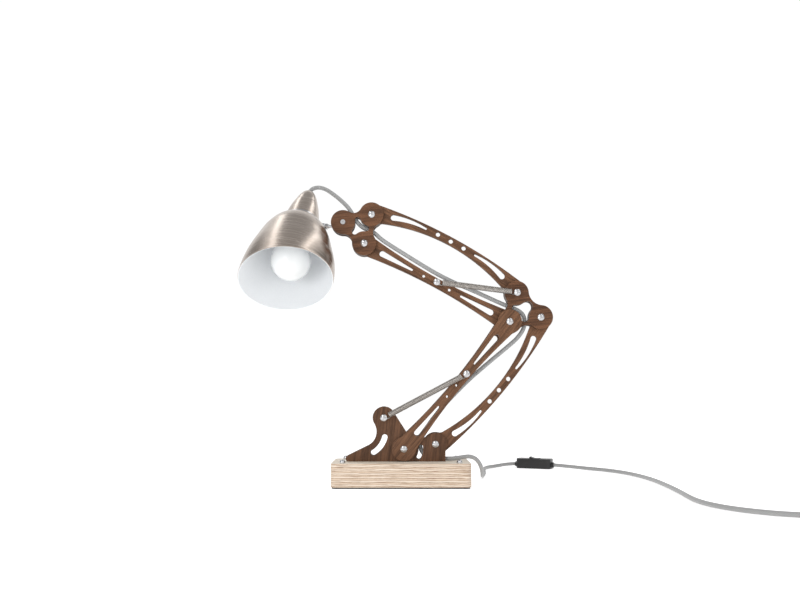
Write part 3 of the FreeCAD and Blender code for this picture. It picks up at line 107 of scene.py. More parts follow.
def noise(nodes, links, vector, scale, detail=4, rough=0.55):
    node = nodes.new("ShaderNodeTexNoise")
    node.inputs["Scale"].default_value = scale
    node.inputs["Detail"].default_value = detail
    node.inputs["Roughness"].default_value = rough
    links.new(vector, node.inputs["Vector"])
    return node.outputs["Fac"]


def feed(links, socket, value):
    """Set a socket to a number or a colour, or link another node's output to it."""
    if isinstance(value, (int, float)):
        socket.default_value = value
    elif isinstance(value, tuple):
        socket.default_value = (*value, 1)
    else:
        links.new(value, socket)


def mixed(nodes, links, amount, first, second, kind="MIX"):
    node = nodes.new("ShaderNodeMix")
    node.data_type = "RGBA"
    node.blend_type = kind
    for index, value in ((0, amount), (6, first), (7, second)):
        feed(links, node.inputs[index], value)
    return node.outputs[2]


def maths(nodes, links, operation, *values):
    node = nodes.new("ShaderNodeMath")
    node.operation = operation
    for socket, value in zip(node.inputs, values):
        feed(links, socket, value)
    return node.outputs[0]


def split_up(nodes, links, vector):
    """The three parts of a vector, by name."""
    node = nodes.new("ShaderNodeSeparateXYZ")
    links.new(vector, node.inputs["Vector"])
    return node.outputs


def bump(nodes, links, shader, height, strength, distance):
    node = nodes.new("ShaderNodeBump")
    node.inputs["Strength"].default_value = strength
    node.inputs["Distance"].default_value = distance
    links.new(height, node.inputs["Height"])
    links.new(node.outputs["Normal"], shader.inputs["Normal"])


def walnut(name, grain_angle, tint):
    """Oiled walnut faces with long grain along grain_angle, and scorched cut edges."""
    material, nodes, links, shader = new_material(name)
    turn = (0, grain_angle, 0)
    broad = noise(nodes, links, coordinates(nodes, links, (9, 60, 150), turn), 1.2, 6, 0.6)
    fine = noise(nodes, links, coordinates(nodes, links, (40, 400, 1300), turn), 1.0, 3, 0.7)
    shades = [(0.28, 0.5), (0.46, 1), (0.58, 1.55), (0.72, 0.75)]
    face = ramp(nodes, links, broad, [(place, tuple(c * share for c in tint)) for place, share in shades])
    pores = ramp(nodes, links, fine, [(0.36, (0.35, 0.33, 0.31)), (0.5, 1)])
    face = mixed(nodes, links, 0.75, face, pores, "MULTIPLY")
    normal = nodes.new("ShaderNodeNewGeometry")
    own = nodes.new("ShaderNodeVectorTransform")
    own.vector_type = "NORMAL"
    own.convert_from = "WORLD"
    own.convert_to = "OBJECT"
    links.new(normal.outputs["Normal"], own.inputs["Vector"])
    sideways = maths(nodes, links, "ABSOLUTE", split_up(nodes, links, own.outputs["Vector"])["Y"])
    edge = ramp(nodes, links, sideways, [(0.4, 1), (0.7, 0)])
    layers = noise(nodes, links, coordinates(nodes, links, (30, 900, 30)), 1.0, 2)
    burnt = ramp(nodes, links, layers, [(0.35, (0.028, 0.016, 0.01)), (0.65, (0.075, 0.042, 0.024))])
    links.new(mixed(nodes, links, edge, face, burnt), shader.inputs["Base Color"])
    links.new(ramp(nodes, links, broad, [(0.3, 0.5), (0.7, 0.38)]), shader.inputs["Roughness"])
    shader.inputs["Specular IOR Level"].default_value = 0.2
    bump(nodes, links, shader, fine, 0.12, 0.0004)
    return material


def plywood(name):
    """Birch plywood: pale face grain along X above, and wavy plies on the edges."""
    wave_height, ply_pair = 0.0052, 0.0056
    material, nodes, links, shader = new_material(name)
    grain = noise(nodes, links, coordinates(nodes, links, (7, 90, 7)), 1.3, 6, 0.6)
    face = ramp(nodes, links, grain, [
        (0.3, (0.66, 0.55, 0.42)), (0.5, (0.8, 0.71, 0.59)), (0.7, (0.86, 0.79, 0.69)),
    ])
    where = nodes.new("ShaderNodeTexCoord")
    level = split_up(nodes, links, where.outputs["Object"])["Z"]
    wobble = noise(nodes, links, coordinates(nodes, links, (16, 16, 90)), 1.0, 4, 0.6)
    height = maths(nodes, links, "ADD", level, maths(nodes, links, "MULTIPLY", wobble, wave_height))
    step = maths(nodes, links, "FRACT", maths(nodes, links, "DIVIDE", height, ply_pair))
    streak = noise(nodes, links, coordinates(nodes, links, (38, 38, 620)), 1.0, 4, 0.7)
    plies = ramp(nodes, links, step, [
        (0.0, (0.22, 0.12, 0.07)), (0.1, (0.36, 0.22, 0.14)), (0.18, (0.68, 0.56, 0.44)),
        (0.48, (0.78, 0.7, 0.6)), (0.58, (0.42, 0.28, 0.19)), (0.7, (0.6, 0.46, 0.34)),
        (0.93, (0.7, 0.58, 0.46)),
    ])
    veins = ramp(nodes, links, streak, [(0.36, (0.42, 0.31, 0.23)), (0.52, 1)])
    plies = mixed(nodes, links, 0.55, plies, veins, "MULTIPLY")
    normal = nodes.new("ShaderNodeNewGeometry")
    upright = maths(nodes, links, "ABSOLUTE", split_up(nodes, links, normal.outputs["Normal"])["Z"])
    flat = ramp(nodes, links, upright, [(0.5, 0), (0.8, 1)])
    links.new(mixed(nodes, links, flat, plies, face), shader.inputs["Base Color"])
    shader.inputs["Roughness"].default_value = 0.55
    bump(nodes, links, shader, streak, 0.15, 0.0004)
    return material


def darker(colour, share):
    return tuple(c * share for c in colour)


def metal(name, colour, rough, strength=0.1):
    """Bright metal with a fine, even grain."""
    material, nodes, links, shader = new_material(name)
    shader.inputs["Metallic"].default_value = 1
    scratch = noise(nodes, links, coordinates(nodes, links, (300, 300, 300)), 1.0, 3, 0.7)
    links.new(ramp(nodes, links, scratch, [(0.3, darker(colour, 0.86)), (0.7, colour)]),
              shader.inputs["Base Color"])
    links.new(ramp(nodes, links, scratch, [(0.3, rough * 0.75), (0.7, rough * 1.25)]),
              shader.inputs["Roughness"])
    bump(nodes, links, shader, scratch, strength, 0.0002)
    return material


def plastic(name, colour, rough, grain=1500):
    """Moulded plastic or felt, with a speck of the given grain per metre."""
    material, nodes, links, shader = new_material(name)
    speck = noise(nodes, links, coordinates(nodes, links, (grain, grain, grain)), 1.0, 2)
    links.new(ramp(nodes, links, speck, [(0.3, darker(colour, 0.85)), (0.7, colour)]),
              shader.inputs["Base Color"])
    shader.inputs["Roughness"].default_value = rough
    bump(nodes, links, shader, speck, 0.1, 0.0002)
    return material


def braid(name):
    """Textile lead: two greys of strand crossing in a fine herringbone, from the tube's own coordinates."""
    strand_pitch, strands_round = 0.003, 8.0
    material, nodes, links, shader = new_material(name)
    where = nodes.new("ShaderNodeUVMap")
    where.uv_map = "along"
    parts = split_up(nodes, links, where.outputs["UV"])
    along = maths(nodes, links, "MULTIPLY", parts["X"], 1 / strand_pitch)
    around = maths(nodes, links, "MULTIPLY", parts["Y"], strands_round)

    def strand(operation):
        value = maths(nodes, links, "FRACT", maths(nodes, links, operation, along, around))
        return maths(nodes, links, "PINGPONG", value, 0.5)

    one, two = strand("ADD"), strand("SUBTRACT")
    first = ramp(nodes, links, one, [(0.2, (0.42, 0.42, 0.41)), (0.3, (0.2, 0.2, 0.205))])
    second = ramp(nodes, links, two, [(0.2, 0.38), (0.34, 0.24)])
    links.new(mixed(nodes, links, 0.5, first, second), shader.inputs["Base Color"])
    shader.inputs["Roughness"].default_value = 0.85
    shader.inputs["Sheen Weight"].default_value = 0.3
    bump(nodes, links, shader, maths(nodes, links, "MAXIMUM", one, two), 0.4, 0.0004)
    return material


WALNUT_LOWER = walnut("walnut_lower", LOWER, (0.125, 0.06, 0.031))
WALNUT_UPPER = walnut("walnut_upper", UPPER, (0.125, 0.06, 0.031))
WALNUT_PLATE = walnut("walnut_plate", 0.1, (0.11, 0.05, 0.025))
WALNUT_FOOT = walnut("walnut_foot", 1.45, (0.105, 0.05, 0.026))
PLYWOOD = plywood("birch_plywood")
STEEL = metal("plated_steel", (0.6, 0.6, 0.61), 0.24)
BRIGHT = metal("bright_metal", (0.78, 0.78, 0.79), 0.25)
SPRING = metal("spring_steel", (0.46, 0.43, 0.4), 0.34, strength=0.03)
FELT = plastic("black_felt", (0.02, 0.02, 0.02), 0.95, 700)
BLACK = plastic("black_plastic", (0.013, 0.013, 0.014), 0.35)
BRAID = braid("grey_braid")


def paint(material, *names):
    for name in names:
        node = NODES[name]
        node.data.materials.clear()
        node.data.materials.append(material)


# Dressing of the rigid nodes

paint(WALNUT_LOWER, "front_link_near", "front_link_far", "rear_link")
paint(WALNUT_UPPER, "forearm_link", "upper_arm")
paint(WALNUT_PLATE, "elbow_plate_near", "elbow_plate_far", "head_plate_near", "head_plate_far", "head_block")
paint(WALNUT_FOOT, "foot_plate_near", "foot_plate_far")
paint(PLYWOOD, "base_lower_slab", "base_upper_slab")
paint(FELT, "felt_pad")
paint(STEEL, "base_bolts", "foot_pivot_screws", "foot_washers", "foot_spacers", "post_spring_screw",
      "link_spring_screw", "elbow_screws", "elbow_washers", "elbow_spring_screw", "forearm_spring_screw",
      "head_screws", "head_washers", "head_pivot_bolt", "stem", "knuckle_screw", "shade_bracket",
      "ballast_plate")
paint(BRIGHT, "holder_nut", "bulb_base", "plug_pins")
paint(BLACK, "lamp_holder", "switch_lower_shell", "switch_upper_shell", "switch_rocker",
      "switch_bush_left", "switch_bush_right", "plug_body", "plug_relief", "cord_gland")


# Turned pieces of the shade

MOUTH_SLOPE = Vector((0.178, 0.085))
MOUTH_FADE = 78


def cut_lift(radius, angle, station):
    """How far the bell's slanting mouth lifts a ring's point; the slant fades out up the bell."""
    fade = max(0.0, 1 - max(station, 0) / MOUTH_FADE)
    return radius * (MOUTH_SLOPE.x * math.cos(angle) + MOUTH_SLOPE.y * math.sin(angle)) * fade


def turned_faces(mesh, low, high, steps, material_index):
    """Faces between two rings, where a ring may be one point on the axis."""
    for k in range(steps):
        onward = (k + 1) % steps
        corners = []
        for ring, place in ((low, k), (low, onward), (high, onward), (high, k)):
            corner = ring[place % len(ring)]
            if corner not in corners:
                corners.append(corner)
        if len(corners) > 2:
            face = mesh.faces.new(corners)
            face.material_index = material_index
            face.smooth = True


def lathe(name, profile, materials, replaced, lift=None):
    """Turned piece of the shade from (radius, station, material index) points, from one end to the other."""
    steps, on_axis, sharp = 128, 1e-6, math.radians(40)
    mesh = bmesh.new()
    rings = []
    for radius, station, _ in profile:
        ring = []
        for k in range(1 if radius < on_axis else steps):
            angle = 2 * math.pi * k / steps
            height = station + (lift(radius, angle, station) if lift else 0)
            place = Vector((radius * math.cos(angle), radius * math.sin(angle), height))
            ring.append(mesh.verts.new(SHADE_FRAME @ place * MM))
        rings.append(ring)
    for low, high, (_, _, material_index) in zip(rings, rings[1:], profile):
        turned_faces(mesh, low, high, steps, material_index)
    bmesh.ops.recalc_face_normals(mesh, faces=mesh.faces)
    data = bpy.data.meshes.new(name)
    mesh.to_mesh(data)
    mesh.free()
    piece = bpy.data.objects.new(name, data)
    bpy.context.scene.collection.objects.link(piece)
    for material in materials:
        data.materials.append(material)
    data.set_sharp_from_angle(angle=sharp)
    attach(piece, "shade")
    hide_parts(replaced)
    return piece


def curve_points(points, count=6):
    """Points on a smooth curve through the given (radius, station) points, count to each of its runs."""
    out = []
    for i in range(len(points) - 1):
        p0 = Vector(points[max(i - 1, 0)])
        p1, p2 = Vector(points[i]), Vector(points[i + 1])
        p3 = Vector(points[min(i + 2, len(points) - 1)])
        for k in range(count):
            s = k / count
            out.append(0.5 * ((2 * p1) + (p2 - p0) * s + (2 * p0 - 5 * p1 + 4 * p2 - p3) * s * s
                              + (3 * p1 - p0 - 3 * p2 + p3) * s ** 3))
    out.append(Vector(points[-1]))
    return out


def shade_outside():
    """Brushed nickel: fine rings round the shade's axis, which draw each light out along the meridians."""
    material, nodes, links, shader = new_material("brushed_nickel")
    shader.inputs["Metallic"].default_value = 1
    where = nodes.new("ShaderNodeUVMap")
    where.uv_map = "along"
    mapping = nodes.new("ShaderNodeMapping")
    mapping.inputs["Scale"].default_value = (900, 3, 1)
    links.new(where.outputs["UV"], mapping.inputs["Vector"])
    rings = noise(nodes, links, mapping.outputs["Vector"], 1.0, 4, 0.75)
    links.new(ramp(nodes, links, rings, [(0.3, (0.44, 0.375, 0.325)), (0.7, (0.6, 0.525, 0.465))]),
              shader.inputs["Base Color"])
    links.new(ramp(nodes, links, rings, [(0.3, 0.2), (0.7, 0.3)]), shader.inputs["Roughness"])
    tangent = nodes.new("ShaderNodeTangent")
    tangent.direction_type = "UV_MAP"
    tangent.uv_map = "along"
    links.new(tangent.outputs["Tangent"], shader.inputs["Tangent"])
    shader.inputs["Anisotropic"].default_value = 0.6
    shader.inputs["Anisotropic Rotation"].default_value = 0.25
    bump(nodes, links, shader, rings, 0.05, 0.0001)
    return material


def enamel():
    """White enamel with a faint unevenness, inside the shade."""
    material, nodes, links, shader = new_material("white_enamel")
    speck = noise(nodes, links, coordinates(nodes, links, (500, 500, 500)), 1.0, 2)
    links.new(ramp(nodes, links, speck, [(0.3, (0.9, 0.92, 0.94)), (0.7, (0.94, 0.955, 0.97))]),
              shader.inputs["Base Color"])
    shader.inputs["Roughness"].default_value = 0.35
    bump(nodes, links, shader, speck, 0.06, 0.0002)
    return material


def opal():
    """Opal glass of the bulb, slightly cloudy and glossy."""
    material, nodes, links, shader = new_material("opal_glass")
    cloud = noise(nodes, links, coordinates(nodes, links, (30, 30, 30)), 1.0, 2)
    links.new(ramp(nodes, links, cloud, [(0.3, (0.76, 0.77, 0.77)), (0.7, (0.82, 0.83, 0.83))]),
              shader.inputs["Base Color"])
    shader.inputs["Roughness"].default_value = 0.18
    shader.inputs["Subsurface Weight"].default_value = 0.25
    shader.inputs["Subsurface Radius"].default_value = (0.01, 0.01, 0.01)
    shader.inputs["Coat Weight"].default_value = 0.4
    return material


def lathe_map(piece):
    """Coordinates along the shade's axis and round it, for the brushing."""
    layer = piece.data.uv_layers.new(name="along")
    inverse = SHADE_FRAME.inverted()
    for loop in piece.data.loops:
        local = inverse @ (piece.data.vertices[loop.vertex_index].co / MM)
        layer.data[loop.index].uv = (local.z * MM, abs(math.atan2(local.y, local.x)) / math.pi)


NICKEL, ENAMEL, OPAL = shade_outside(), enamel(), opal()
OUTSIDE, INSIDE = 0, 1  # a profile point's material
METAL_WALL, TOP_OUTSIDE, TOP_INSIDE, TOP_RADIUS, TOP_INSIDE_RADIUS, CORD_HOLE = 1, 116, 115, 27, 20, 5.2
ROLLED_EDGE = 2.6


def make_bell():
    outer = curve_points([(66, 0), (66.2, 10), (65.2, 24), (62.3, 41), (56.6, 63), (51.2, 82), (44.2, 99),
                          (37.6, 109.5), (33, 114), (27.2, 116.4)])
    profile = [(66.3, 0.5, OUTSIDE), (66.4, 1.4, OUTSIDE), (66.1, 2.4, OUTSIDE)]
    profile += [(max(p.x, TOP_RADIUS), p.y, OUTSIDE) for p in outer if p.y > ROLLED_EDGE]
    profile += [(CORD_HOLE, TOP_OUTSIDE, INSIDE), (CORD_HOLE, TOP_INSIDE, INSIDE)]
    profile += [(max(p.x - METAL_WALL, TOP_INSIDE_RADIUS), min(p.y, TOP_INSIDE), INSIDE)
                for p in reversed(outer) if p.y > 1]
    profile += [(65.2, 0.2, INSIDE), (65.8, -0.1, OUTSIDE), (66.3, 0.5, OUTSIDE)]
    lathe_map(lathe("shade_bell", profile, (NICKEL, ENAMEL), "shade", lift=cut_lift))


def make_cap():
    dome = curve_points([(27, 124), (25.6, 134), (23.2, 148), (20.6, 160), (19.8, 163)], 5)
    crown = curve_points([(18.9, 164.4), (17.2, 172), (14.2, 182), (10.6, 190.5), (7.2, 195.4)], 5)
    foot = [(26.2, 116), (26.2, 117.3), (27, 117.6), (27.2, 118.2), (27.2, 123.2)]
    underside = [(6.2, 196), (4.7, 196), (4.7, 194.8), (6.6, 194), (16, 164), (25.4, 123), (25.4, 116),
                 (26.2, 116)]
    profile = [(*point, OUTSIDE) for point in (*foot, *dome, *crown, *underside)]
    lathe_map(lathe("shade_cap_skin", profile, (NICKEL,), "shade_cap"))


def make_bulb():
    radius, station, spread, steps = 28.5, 39, 132, 24
    ball = []
    for k in range(steps + 1):
        angle = math.radians(spread * k / steps)
        ball.append((radius * math.sin(angle), station - radius * math.cos(angle)))
    neck = [(18.2, 62.6), (15.6, 68.5), (13.8, 73.2), (13.3, 76), (12.3, 76), (12.3, 73)]
    hollow = [(17, 61), (26, 46), (27, 36), (20, 20.5), (0, 11.8)]
    lathe("bulb_skin", [(*point, OUTSIDE) for point in (*ball, *neck, *hollow)], (OPAL,), "bulb_globe")


make_bell()
make_cap()
make_bulb()


# Cords: each follows a smooth spline whose control points are the route's

def spline_points(name, route):
    """Points of the route's NURBS spline, in metres, thinned to more than 2.5 mm apart."""
    spacing, same = 2.5 * MM, 1e-6
    data = bpy.data.curves.new(name, "CURVE")
    data.dimensions = "3D"
    data.resolution_u = 24
    spline = data.splines.new("NURBS")
    spline.points.add(len(route) - 1)
    for point, place in zip(spline.points, route):
        point.co = (*(Vector(place) * MM), 1)
    spline.order_u = 3
    spline.use_endpoint_u = True
    holder = bpy.data.objects.new(name, data)
    bpy.context.scene.collection.objects.link(holder)
    bpy.context.view_layer.update()
    mesh = bpy.data.meshes.new_from_object(holder)
    raw = [v.co.copy() for v in mesh.vertices]
    bpy.data.objects.remove(holder)
    bpy.data.curves.remove(data)
    bpy.data.meshes.remove(mesh)
    spaced = [raw[0]]
    for point in raw[1:]:
        if (point - spaced[-1]).length > spacing:
            spaced.append(point)
    if (spaced[-1] - raw[-1]).length > same:
        spaced[-1] = raw[-1]
    return spaced


def length_of(points):
    return sum((b - a).length for a, b in zip(points, points[1:]))


def tube_rings(mesh, points, radius, sides):
    """Rings of points round a line, each turned as little as can be from the one before."""
    straight = 1e-6
    heading = (points[1] - points[0]).normalized()
    side = heading.orthogonal().normalized()
    rings = []
    for index, point in enumerate(points):
        before = points[index] - points[index - 1] if index else points[1] - points[0]
        after = points[index + 1] - points[index] if index + 1 < len(points) else before
        onward = (before.normalized() + after.normalized()).normalized()
        bend = heading.angle(onward)
        if bend > straight:
            side = Quaternion(heading.cross(onward).normalized(), bend) @ side
        side = (side - onward * side.dot(onward)).normalized()
        heading = onward
        other = heading.cross(side)
        ring = []
        for k in range(sides):
            angle = 2 * math.pi * k / sides
            ring.append(mesh.verts.new(point + (side * math.cos(angle) + other * math.sin(angle)) * radius))
        rings.append(ring)
    return rings


def tube(name, points, radius, material, sides=14, start=0.0):
    """Round tube through points, with coordinates along and round it."""
    mesh = bmesh.new()
    layer = mesh.loops.layers.uv.new("along")
    rings = tube_rings(mesh, points, radius, sides)
    travelled = [start]
    for a, b in zip(points, points[1:]):
        travelled.append(travelled[-1] + (b - a).length)
    for index, (low, high) in enumerate(zip(rings, rings[1:])):
        for k in range(sides):
            onward = (k + 1) % sides
            face = mesh.faces.new((low[k], low[onward], high[onward], high[k]))
            face.smooth = True
            places = ((index, k), (index, k + 1), (index + 1, k + 1), (index + 1, k))
            for loop, (where, around) in zip(face.loops, places):
                loop[layer].uv = (travelled[where], around / sides)
    mesh.faces.new(list(reversed(rings[0])))
    mesh.faces.new(rings[-1])
    bmesh.ops.recalc_face_normals(mesh, faces=mesh.faces)
    data = bpy.data.meshes.new(name)
    mesh.to_mesh(data)
    mesh.free()
    data.materials.append(material)
    piece = bpy.data.objects.new(name, data)
    bpy.context.scene.collection.objects.link(piece)
    return piece


SHADE_UP = (SHADE_FRAME.to_3x3() @ Vector((0, 0, 1))).normalized()
TIP = SHADE_FRAME @ Vector((0, 0, 192))
ONWARD = Vector((0.943, -0.25, -0.2)).normalized()  # the lead's way once it has turned over the cap
WHOLE = SHADE_UP.angle(ONWARD)
held = [TIP, TIP + SHADE_UP * 11]
for third in (1, 2, 3):
    turn = WHOLE * third / 3
    way = (SHADE_UP * math.sin(WHOLE - turn) + ONWARD * math.sin(turn)) / math.sin(WHOLE)
    held.append(held[-1] + way * (7.5 if third < 3 else 7))
held += [held[-1] + Vector((8.5, -3.5, -3.8))]
held += [Vector(p) for p in (
    (-98.5, 38, 440.5), (-87, 22, 427.5), (-79.5, 7, 417.5), (-73.8, 0.2, 408),
    (-66.5, 0, 394.5), (-56.5, 0, 384.8), (-41.5, 0, 379.9), (-29.5, 0, 368.2), (-16, 0, 359.3),
    (4, 0, 346.8), (30, 0, 330.6), (58, 0, 314), (86, 0, 300.6), (112.5, 0, 289.5), (134.5, 0, 279.2),
    (154.5, 0, 270.2), (179.5, 0, 260.7), (185.9, 0, 249.5), (184.6, 0, 234.5), (174.5, 0, 220),
    (160, 0, 207.5), (143.5, 0, 193.8), (124.5, 0, 177.8), (103, 0, 159.2), (82.5, 0, 138.8),
    (65.5, 0, 120.8), (50.5, 0, 103.5), (38.8, 0, 87), (30.2, 0, 72.3), (27.9, 0, 58.2),
    (33.4, 0, 45.9), (44.8, 0, 39.9), (56.8, 0, 39.7), (67.5, 0, 39.75),
)]
held_line = spline_points("held_route", held)
# Each held piece: its name, the two bodies that it joins, its last point, where it starts and ends
# to turn from the one to the other, and the nodes that it stands for
HELD_PIECES = [
    ("held_cord_cap", "shade", "stem", (-88, 24, 429), (-134, 58, 457), (-95, 35, 437), ["cord_at_cap"]),
    ("held_cord_neck", "stem", "head", (-60, 0, 391), (-90, 26, 431), (-76, 3, 412), ["cord_at_neck"]),
    ("held_cord_head", "head", "forearm", (16, 0, 339), (-58, 0, 388), (0, 0, 348), ["cord_at_head"]),
    ("held_cord_forearm", "forearm", "elbow", (186, 0, 242), (120, 0, 287), (176, 0, 260),
     ["cord_on_forearm"]),
    ("held_cord_elbow", "elbow", "lower_arm", (114, 0, 168), (182, 0, 230), (140, 0, 191),
     ["cord_at_elbow"]),
    ("held_cord_foot", "lower_arm", "base", (67.5, 0, 39.6), (62, 0, 117), (29, 0, 62),
     ["cord_in_lower_arm", "cord_at_foot"]),
]


def nearest(points, place):
    place = Vector(place) * MM
    return min(range(len(points)), key=lambda i: (points[i] - place).length)


def make_held_cord():
    first = 0
    for name, a, b, until, start, end, nodes in HELD_PIECES:
        last = nearest(held_line, until)
        travelled = length_of(held_line[:first + 1])
        piece = tube(name, held_line[first:last + 1], CORD_RADIUS * MM, BRAID, start=travelled)
        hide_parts(*nodes)
        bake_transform(piece)
        first = last


make_held_cord()

SWITCH = Vector((247, 300, 0))
SWITCH_TURN = math.radians(-25)
SWITCH_WAY = Vector((math.cos(SWITCH_TURN), math.sin(SWITCH_TURN), 0))
SWITCH_HALF, SWITCH_MIDDLE = 36, Vector((0, 0, 7))
COIL = Vector((545, -300, 0))
COIL_INNER, COIL_STEP, COIL_RISE = 30, 8.6, 6.9
COIL_TURNS = 2
POINTS_A_TURN = 12


def coil_route():
    """Control points of the stored turns: in below, up where they reverse, and out above."""
    route = []
    inward = 4 * COIL_TURNS  # quarter turns on the table; two more climb, and the rest lead out above
    spread = 1 / math.cos(math.pi / POINTS_A_TURN)
    for k in range(1, POINTS_A_TURN * (2 * COIL_TURNS + 1) + 1):
        quarter = 4 * k / POINTS_A_TURN
        if quarter <= inward:
            radius, height = COIL_INNER + COIL_STEP * (COIL_TURNS - quarter / 4), LOW
        elif quarter < inward + 2:
            radius, height = COIL_INNER, LOW + COIL_RISE * (quarter - inward) / 2
        else:
            radius, height = COIL_INNER + COIL_STEP * (quarter - inward - 2) / 4, LOW + COIL_RISE
        turn = math.radians(90 * quarter - 90)
        reach = radius * spread
        route.append(COIL + Vector((math.cos(turn) * reach, math.sin(turn) * reach, height)))
    return route


COIL_OUT = COIL_INNER + COIL_STEP * (COIL_TURNS + 0.5)
COIL_END = COIL + Vector((0, -COIL_OUT, LOW + COIL_RISE))
COIL_START = COIL + Vector((0, -(COIL_INNER + COIL_STEP * COIL_TURNS), LOW))
PLUG_BACK = Vector((COIL_END.x + 92, COIL_END.y + 24, 7))


def make_lead(name, route, replaced):
    """Free run of the lead along a route, in place of the given cord nodes."""
    line = spline_points(name + "_route", route)
    piece = tube(name, line, CORD_RADIUS * MM, BRAID)
    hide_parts(*replaced)
    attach(piece, "base")


def make_free_cord():
    start = held[-1]
    in_line = SWITCH_WAY * 13
    droop = Vector((0, 0, 0.6))
    enter = SWITCH - SWITCH_WAY * SWITCH_HALF + SWITCH_MIDDLE
    leave = SWITCH + SWITCH_WAY * SWITCH_HALF + SWITCH_MIDDLE
    to_switch = [start, start + Vector((13, 0, 0.06))] + [Vector(p) for p in (
        (93, 3, 42), (104.5, 9.5, 42.6), (114.5, 19.5, 38), (121.5, 32, 29), (126, 48, 19),
        (128.5, 66, 11), (130.5, 88, 5.6), (133.5, 116, LOW), (138.5, 148, LOW + 0.1), (142.5, 182, LOW),
        (144.5, 216, LOW), (148.5, 247, LOW + 0.1), (153.5, 271, LOW), (162, 291, LOW), (174, 306.5, LOW),
        (188, 316.5, LOW + 1.4),
    )] + [enter - in_line - droop, enter]
    make_lead("lead_to_switch", to_switch, ["cord_to_switch"])
    to_plug = [leave, leave + in_line - droop] + [Vector(p) for p in (
        (318, 268.5, LOW + 1.1), (338, 252, LOW), (356.5, 228, LOW), (371, 198, LOW), (381.5, 163, LOW),
        (388, 122, LOW), (391, 79, LOW), (391.3, 34, LOW), (389, -12, LOW), (385.5, -58, LOW),
        (381.5, -101, LOW), (376.5, -143, LOW), (371.5, -183, LOW), (368.5, -221, LOW), (371.5, -257, LOW),
        (381.5, -290, LOW), (398.5, -318, LOW), (421, -339.5, LOW), (447, -351.5, LOW), (474, -356, LOW),
        (500, COIL_START.y - 0.6, LOW), (523, COIL_START.y, LOW),
    )] + coil_route() + [
        COIL_END + Vector((22, 3.5, -3.2)), COIL_END + Vector((36, 11, -6)),
        Vector((PLUG_BACK.x - 26, PLUG_BACK.y - 5, LOW + 1.6)), PLUG_BACK - Vector((12, 0, 0)), PLUG_BACK,
    ]
    make_lead("lead_to_plug", to_plug, ["cord_to_coil", "cord_coil", "cord_to_plug"])


make_free_cord()


# Springs: close-wound turns between open end loops

def make_spring(name, first, second, level, node):
    """Spring from one screw to another, level mm in front of the arms' middle plane."""
    hook, lead, radius, wire, pitch = 3.4, 8.5, 3.6, 0.8, 1.72
    steps_a_turn, hook_steps, hook_turn = 16, 14, 235
    start = Vector((first.x, -level, first.z))
    end = Vector((second.x, -level, second.z))
    axis = (end - start).normalized()
    across = Vector((0, 1, 0))
    side = axis.cross(across).normalized()
    wound = (end - start).length - 2 * lead
    turns = round(wound / pitch)
    pitch = wound / turns

    def end_loop(middle, opening):
        loop = []
        for k in range(hook_steps + 1):
            angle = math.radians(opening + hook_turn * k / hook_steps)
            loop.append(middle + (axis * math.cos(angle) + side * math.sin(angle)) * hook)
        return loop

    points = end_loop(start, 35)
    for k in range(steps_a_turn * turns + 1):
        angle = 2 * math.pi * k / steps_a_turn
        outward = side * -math.cos(angle) + across * math.sin(angle)
        points.append(start + axis * (lead + pitch * k / steps_a_turn) + outward * radius)
    points += end_loop(end, 270)
    piece = tube(name, [p * MM for p in points], wire * MM, SPRING, sides=8)
    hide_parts(node)
    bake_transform(piece)


make_spring("lower_spring_coils", POST, LOWER_HOOK, LOWER_SPRING_LEVEL,
            "lower_spring")
make_spring("upper_spring_coils", UPPER_HOOK, ELBOW_TOP, UPPER_SPRING_LEVEL,
            "upper_spring")


# Stage

def make_floor():
    """Matt white floor, with a little light of its own so that it stays white far from the lamps."""
    left, right, front, back, level = -12, 12, -8, 12, -0.0002
    data = bpy.data.meshes.new("studio_floor")
    corners = [(left, front, level), (right, front, level), (right, back, level), (left, back, level)]
    data.from_pydata(corners, [], [(0, 1, 2, 3)])
    piece = bpy.data.objects.new("studio_floor", data)
    bpy.context.scene.collection.objects.link(piece)
    material, _, _, shader = new_material("studio_floor")
    shader.inputs["Base Color"].default_value = (0.95, 0.95, 0.95, 1)
    shader.inputs["Roughness"].default_value = 0.75
    shader.inputs["Emission Color"].default_value = (1, 1, 1, 1)
    shader.inputs["Emission Strength"].default_value = 0.5
    data.materials.append(material)


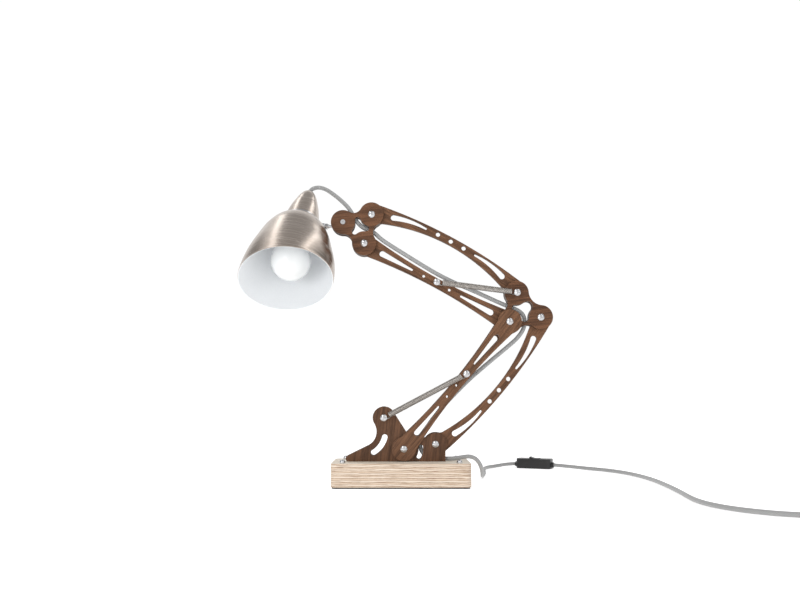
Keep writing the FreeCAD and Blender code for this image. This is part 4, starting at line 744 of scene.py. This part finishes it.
def studio_world():
    """White studio behind the object, with soft light and dark bands overhead for the metal to mirror."""
    world = bpy.data.worlds.new("studio")
    bpy.context.scene.world = world
    world.use_nodes = True
    nodes, links = world.node_tree.nodes, world.node_tree.links
    background = next(n for n in nodes if n.type == "BACKGROUND")
    where = nodes.new("ShaderNodeTexCoord")
    way = split_up(nodes, links, where.outputs["Generated"])
    angle = maths(nodes, links, "ARCTAN2", way["X"], way["Z"])
    place = maths(nodes, links, "MULTIPLY_ADD", angle, 1 / (2 * math.pi), 0.5)
    bands = ramp(nodes, links, place, [
        (0.25, 0.75), (0.3, 0.5), (0.36, 0.3), (0.395, 0.35), (0.415, 0.9), (0.435, 0.5), (0.47, 0.42),
        (0.54, 0.42), (0.585, 0.4), (0.605, 1.0), (0.635, 0.6), (0.66, 0.22), (0.7, 0.25), (0.75, 0.85),
    ])
    behind = ramp(nodes, links, way["Y"], [(0.6, 0), (0.8, 1)])
    front = ramp(nodes, links, maths(nodes, links, "MULTIPLY", way["Y"], -1), [(0.55, 0), (0.8, 1)])
    sky = mixed(nodes, links, behind, bands, (1.0, 1.0, 1.0))
    links.new(mixed(nodes, links, front, sky, (0.88, 0.88, 0.88)), background.inputs["Color"])
    background.inputs["Strength"].default_value = 1.02


make_floor()
studio_world()
bpy.context.scene.view_settings.view_transform = "Standard"


def lamp(name, place, target, width, power, height=None):
    data = bpy.data.lights.new(name, "AREA")
    data.shape = "RECTANGLE"
    data.size = width
    data.size_y = height or width
    data.energy = power
    piece = bpy.data.objects.new(name, data)
    piece.location = place
    piece.rotation_euler = (Vector(target) - Vector(place)).to_track_quat("-Z", "Y").to_euler()
    bpy.context.scene.collection.objects.link(piece)


LAMP_MIDDLE, SHADE_TOP = (0, 0, 0.25), (-0.1, 0.1, 0.35)
lamp("key", (-0.9, -1.3, 1.5), LAMP_MIDDLE, 0.9, 7)
lamp("fill", (1.3, -1.0, 1.0), LAMP_MIDDLE, 0.9, 3)
lamp("low", (-0.75, -1.25, 0.2), (-0.16, -0.07, 0.32), 0.3, 3.2)
lamp("strip_left", (-0.72, 0.1, 1.8), SHADE_TOP, 2.6, 3.8, 0.2)
lamp("strip_right", (0.78, 0.1, 1.8), SHADE_TOP, 2.6, 3.8, 0.2)

# Camera: level, with the horizon moved down in the frame as in the photograph
SENSOR_WIDTH, FRAME_PIXELS, FOCAL_PIXELS, HORIZON_PIXELS = 36, 800, 867, 95
camera_data = bpy.data.cameras.new("camera")
camera_data.sensor_width = SENSOR_WIDTH
camera_data.lens = FOCAL_PIXELS / FRAME_PIXELS * SENSOR_WIDTH
camera_data.shift_y = HORIZON_PIXELS / FRAME_PIXELS
camera = bpy.data.objects.new("camera", camera_data)
camera.location = (-0.0015, -1.3, 0.135)
camera.rotation_euler = (math.radians(90), 0, 0)
bpy.context.scene.collection.objects.link(camera)
bpy.context.scene.camera = camera
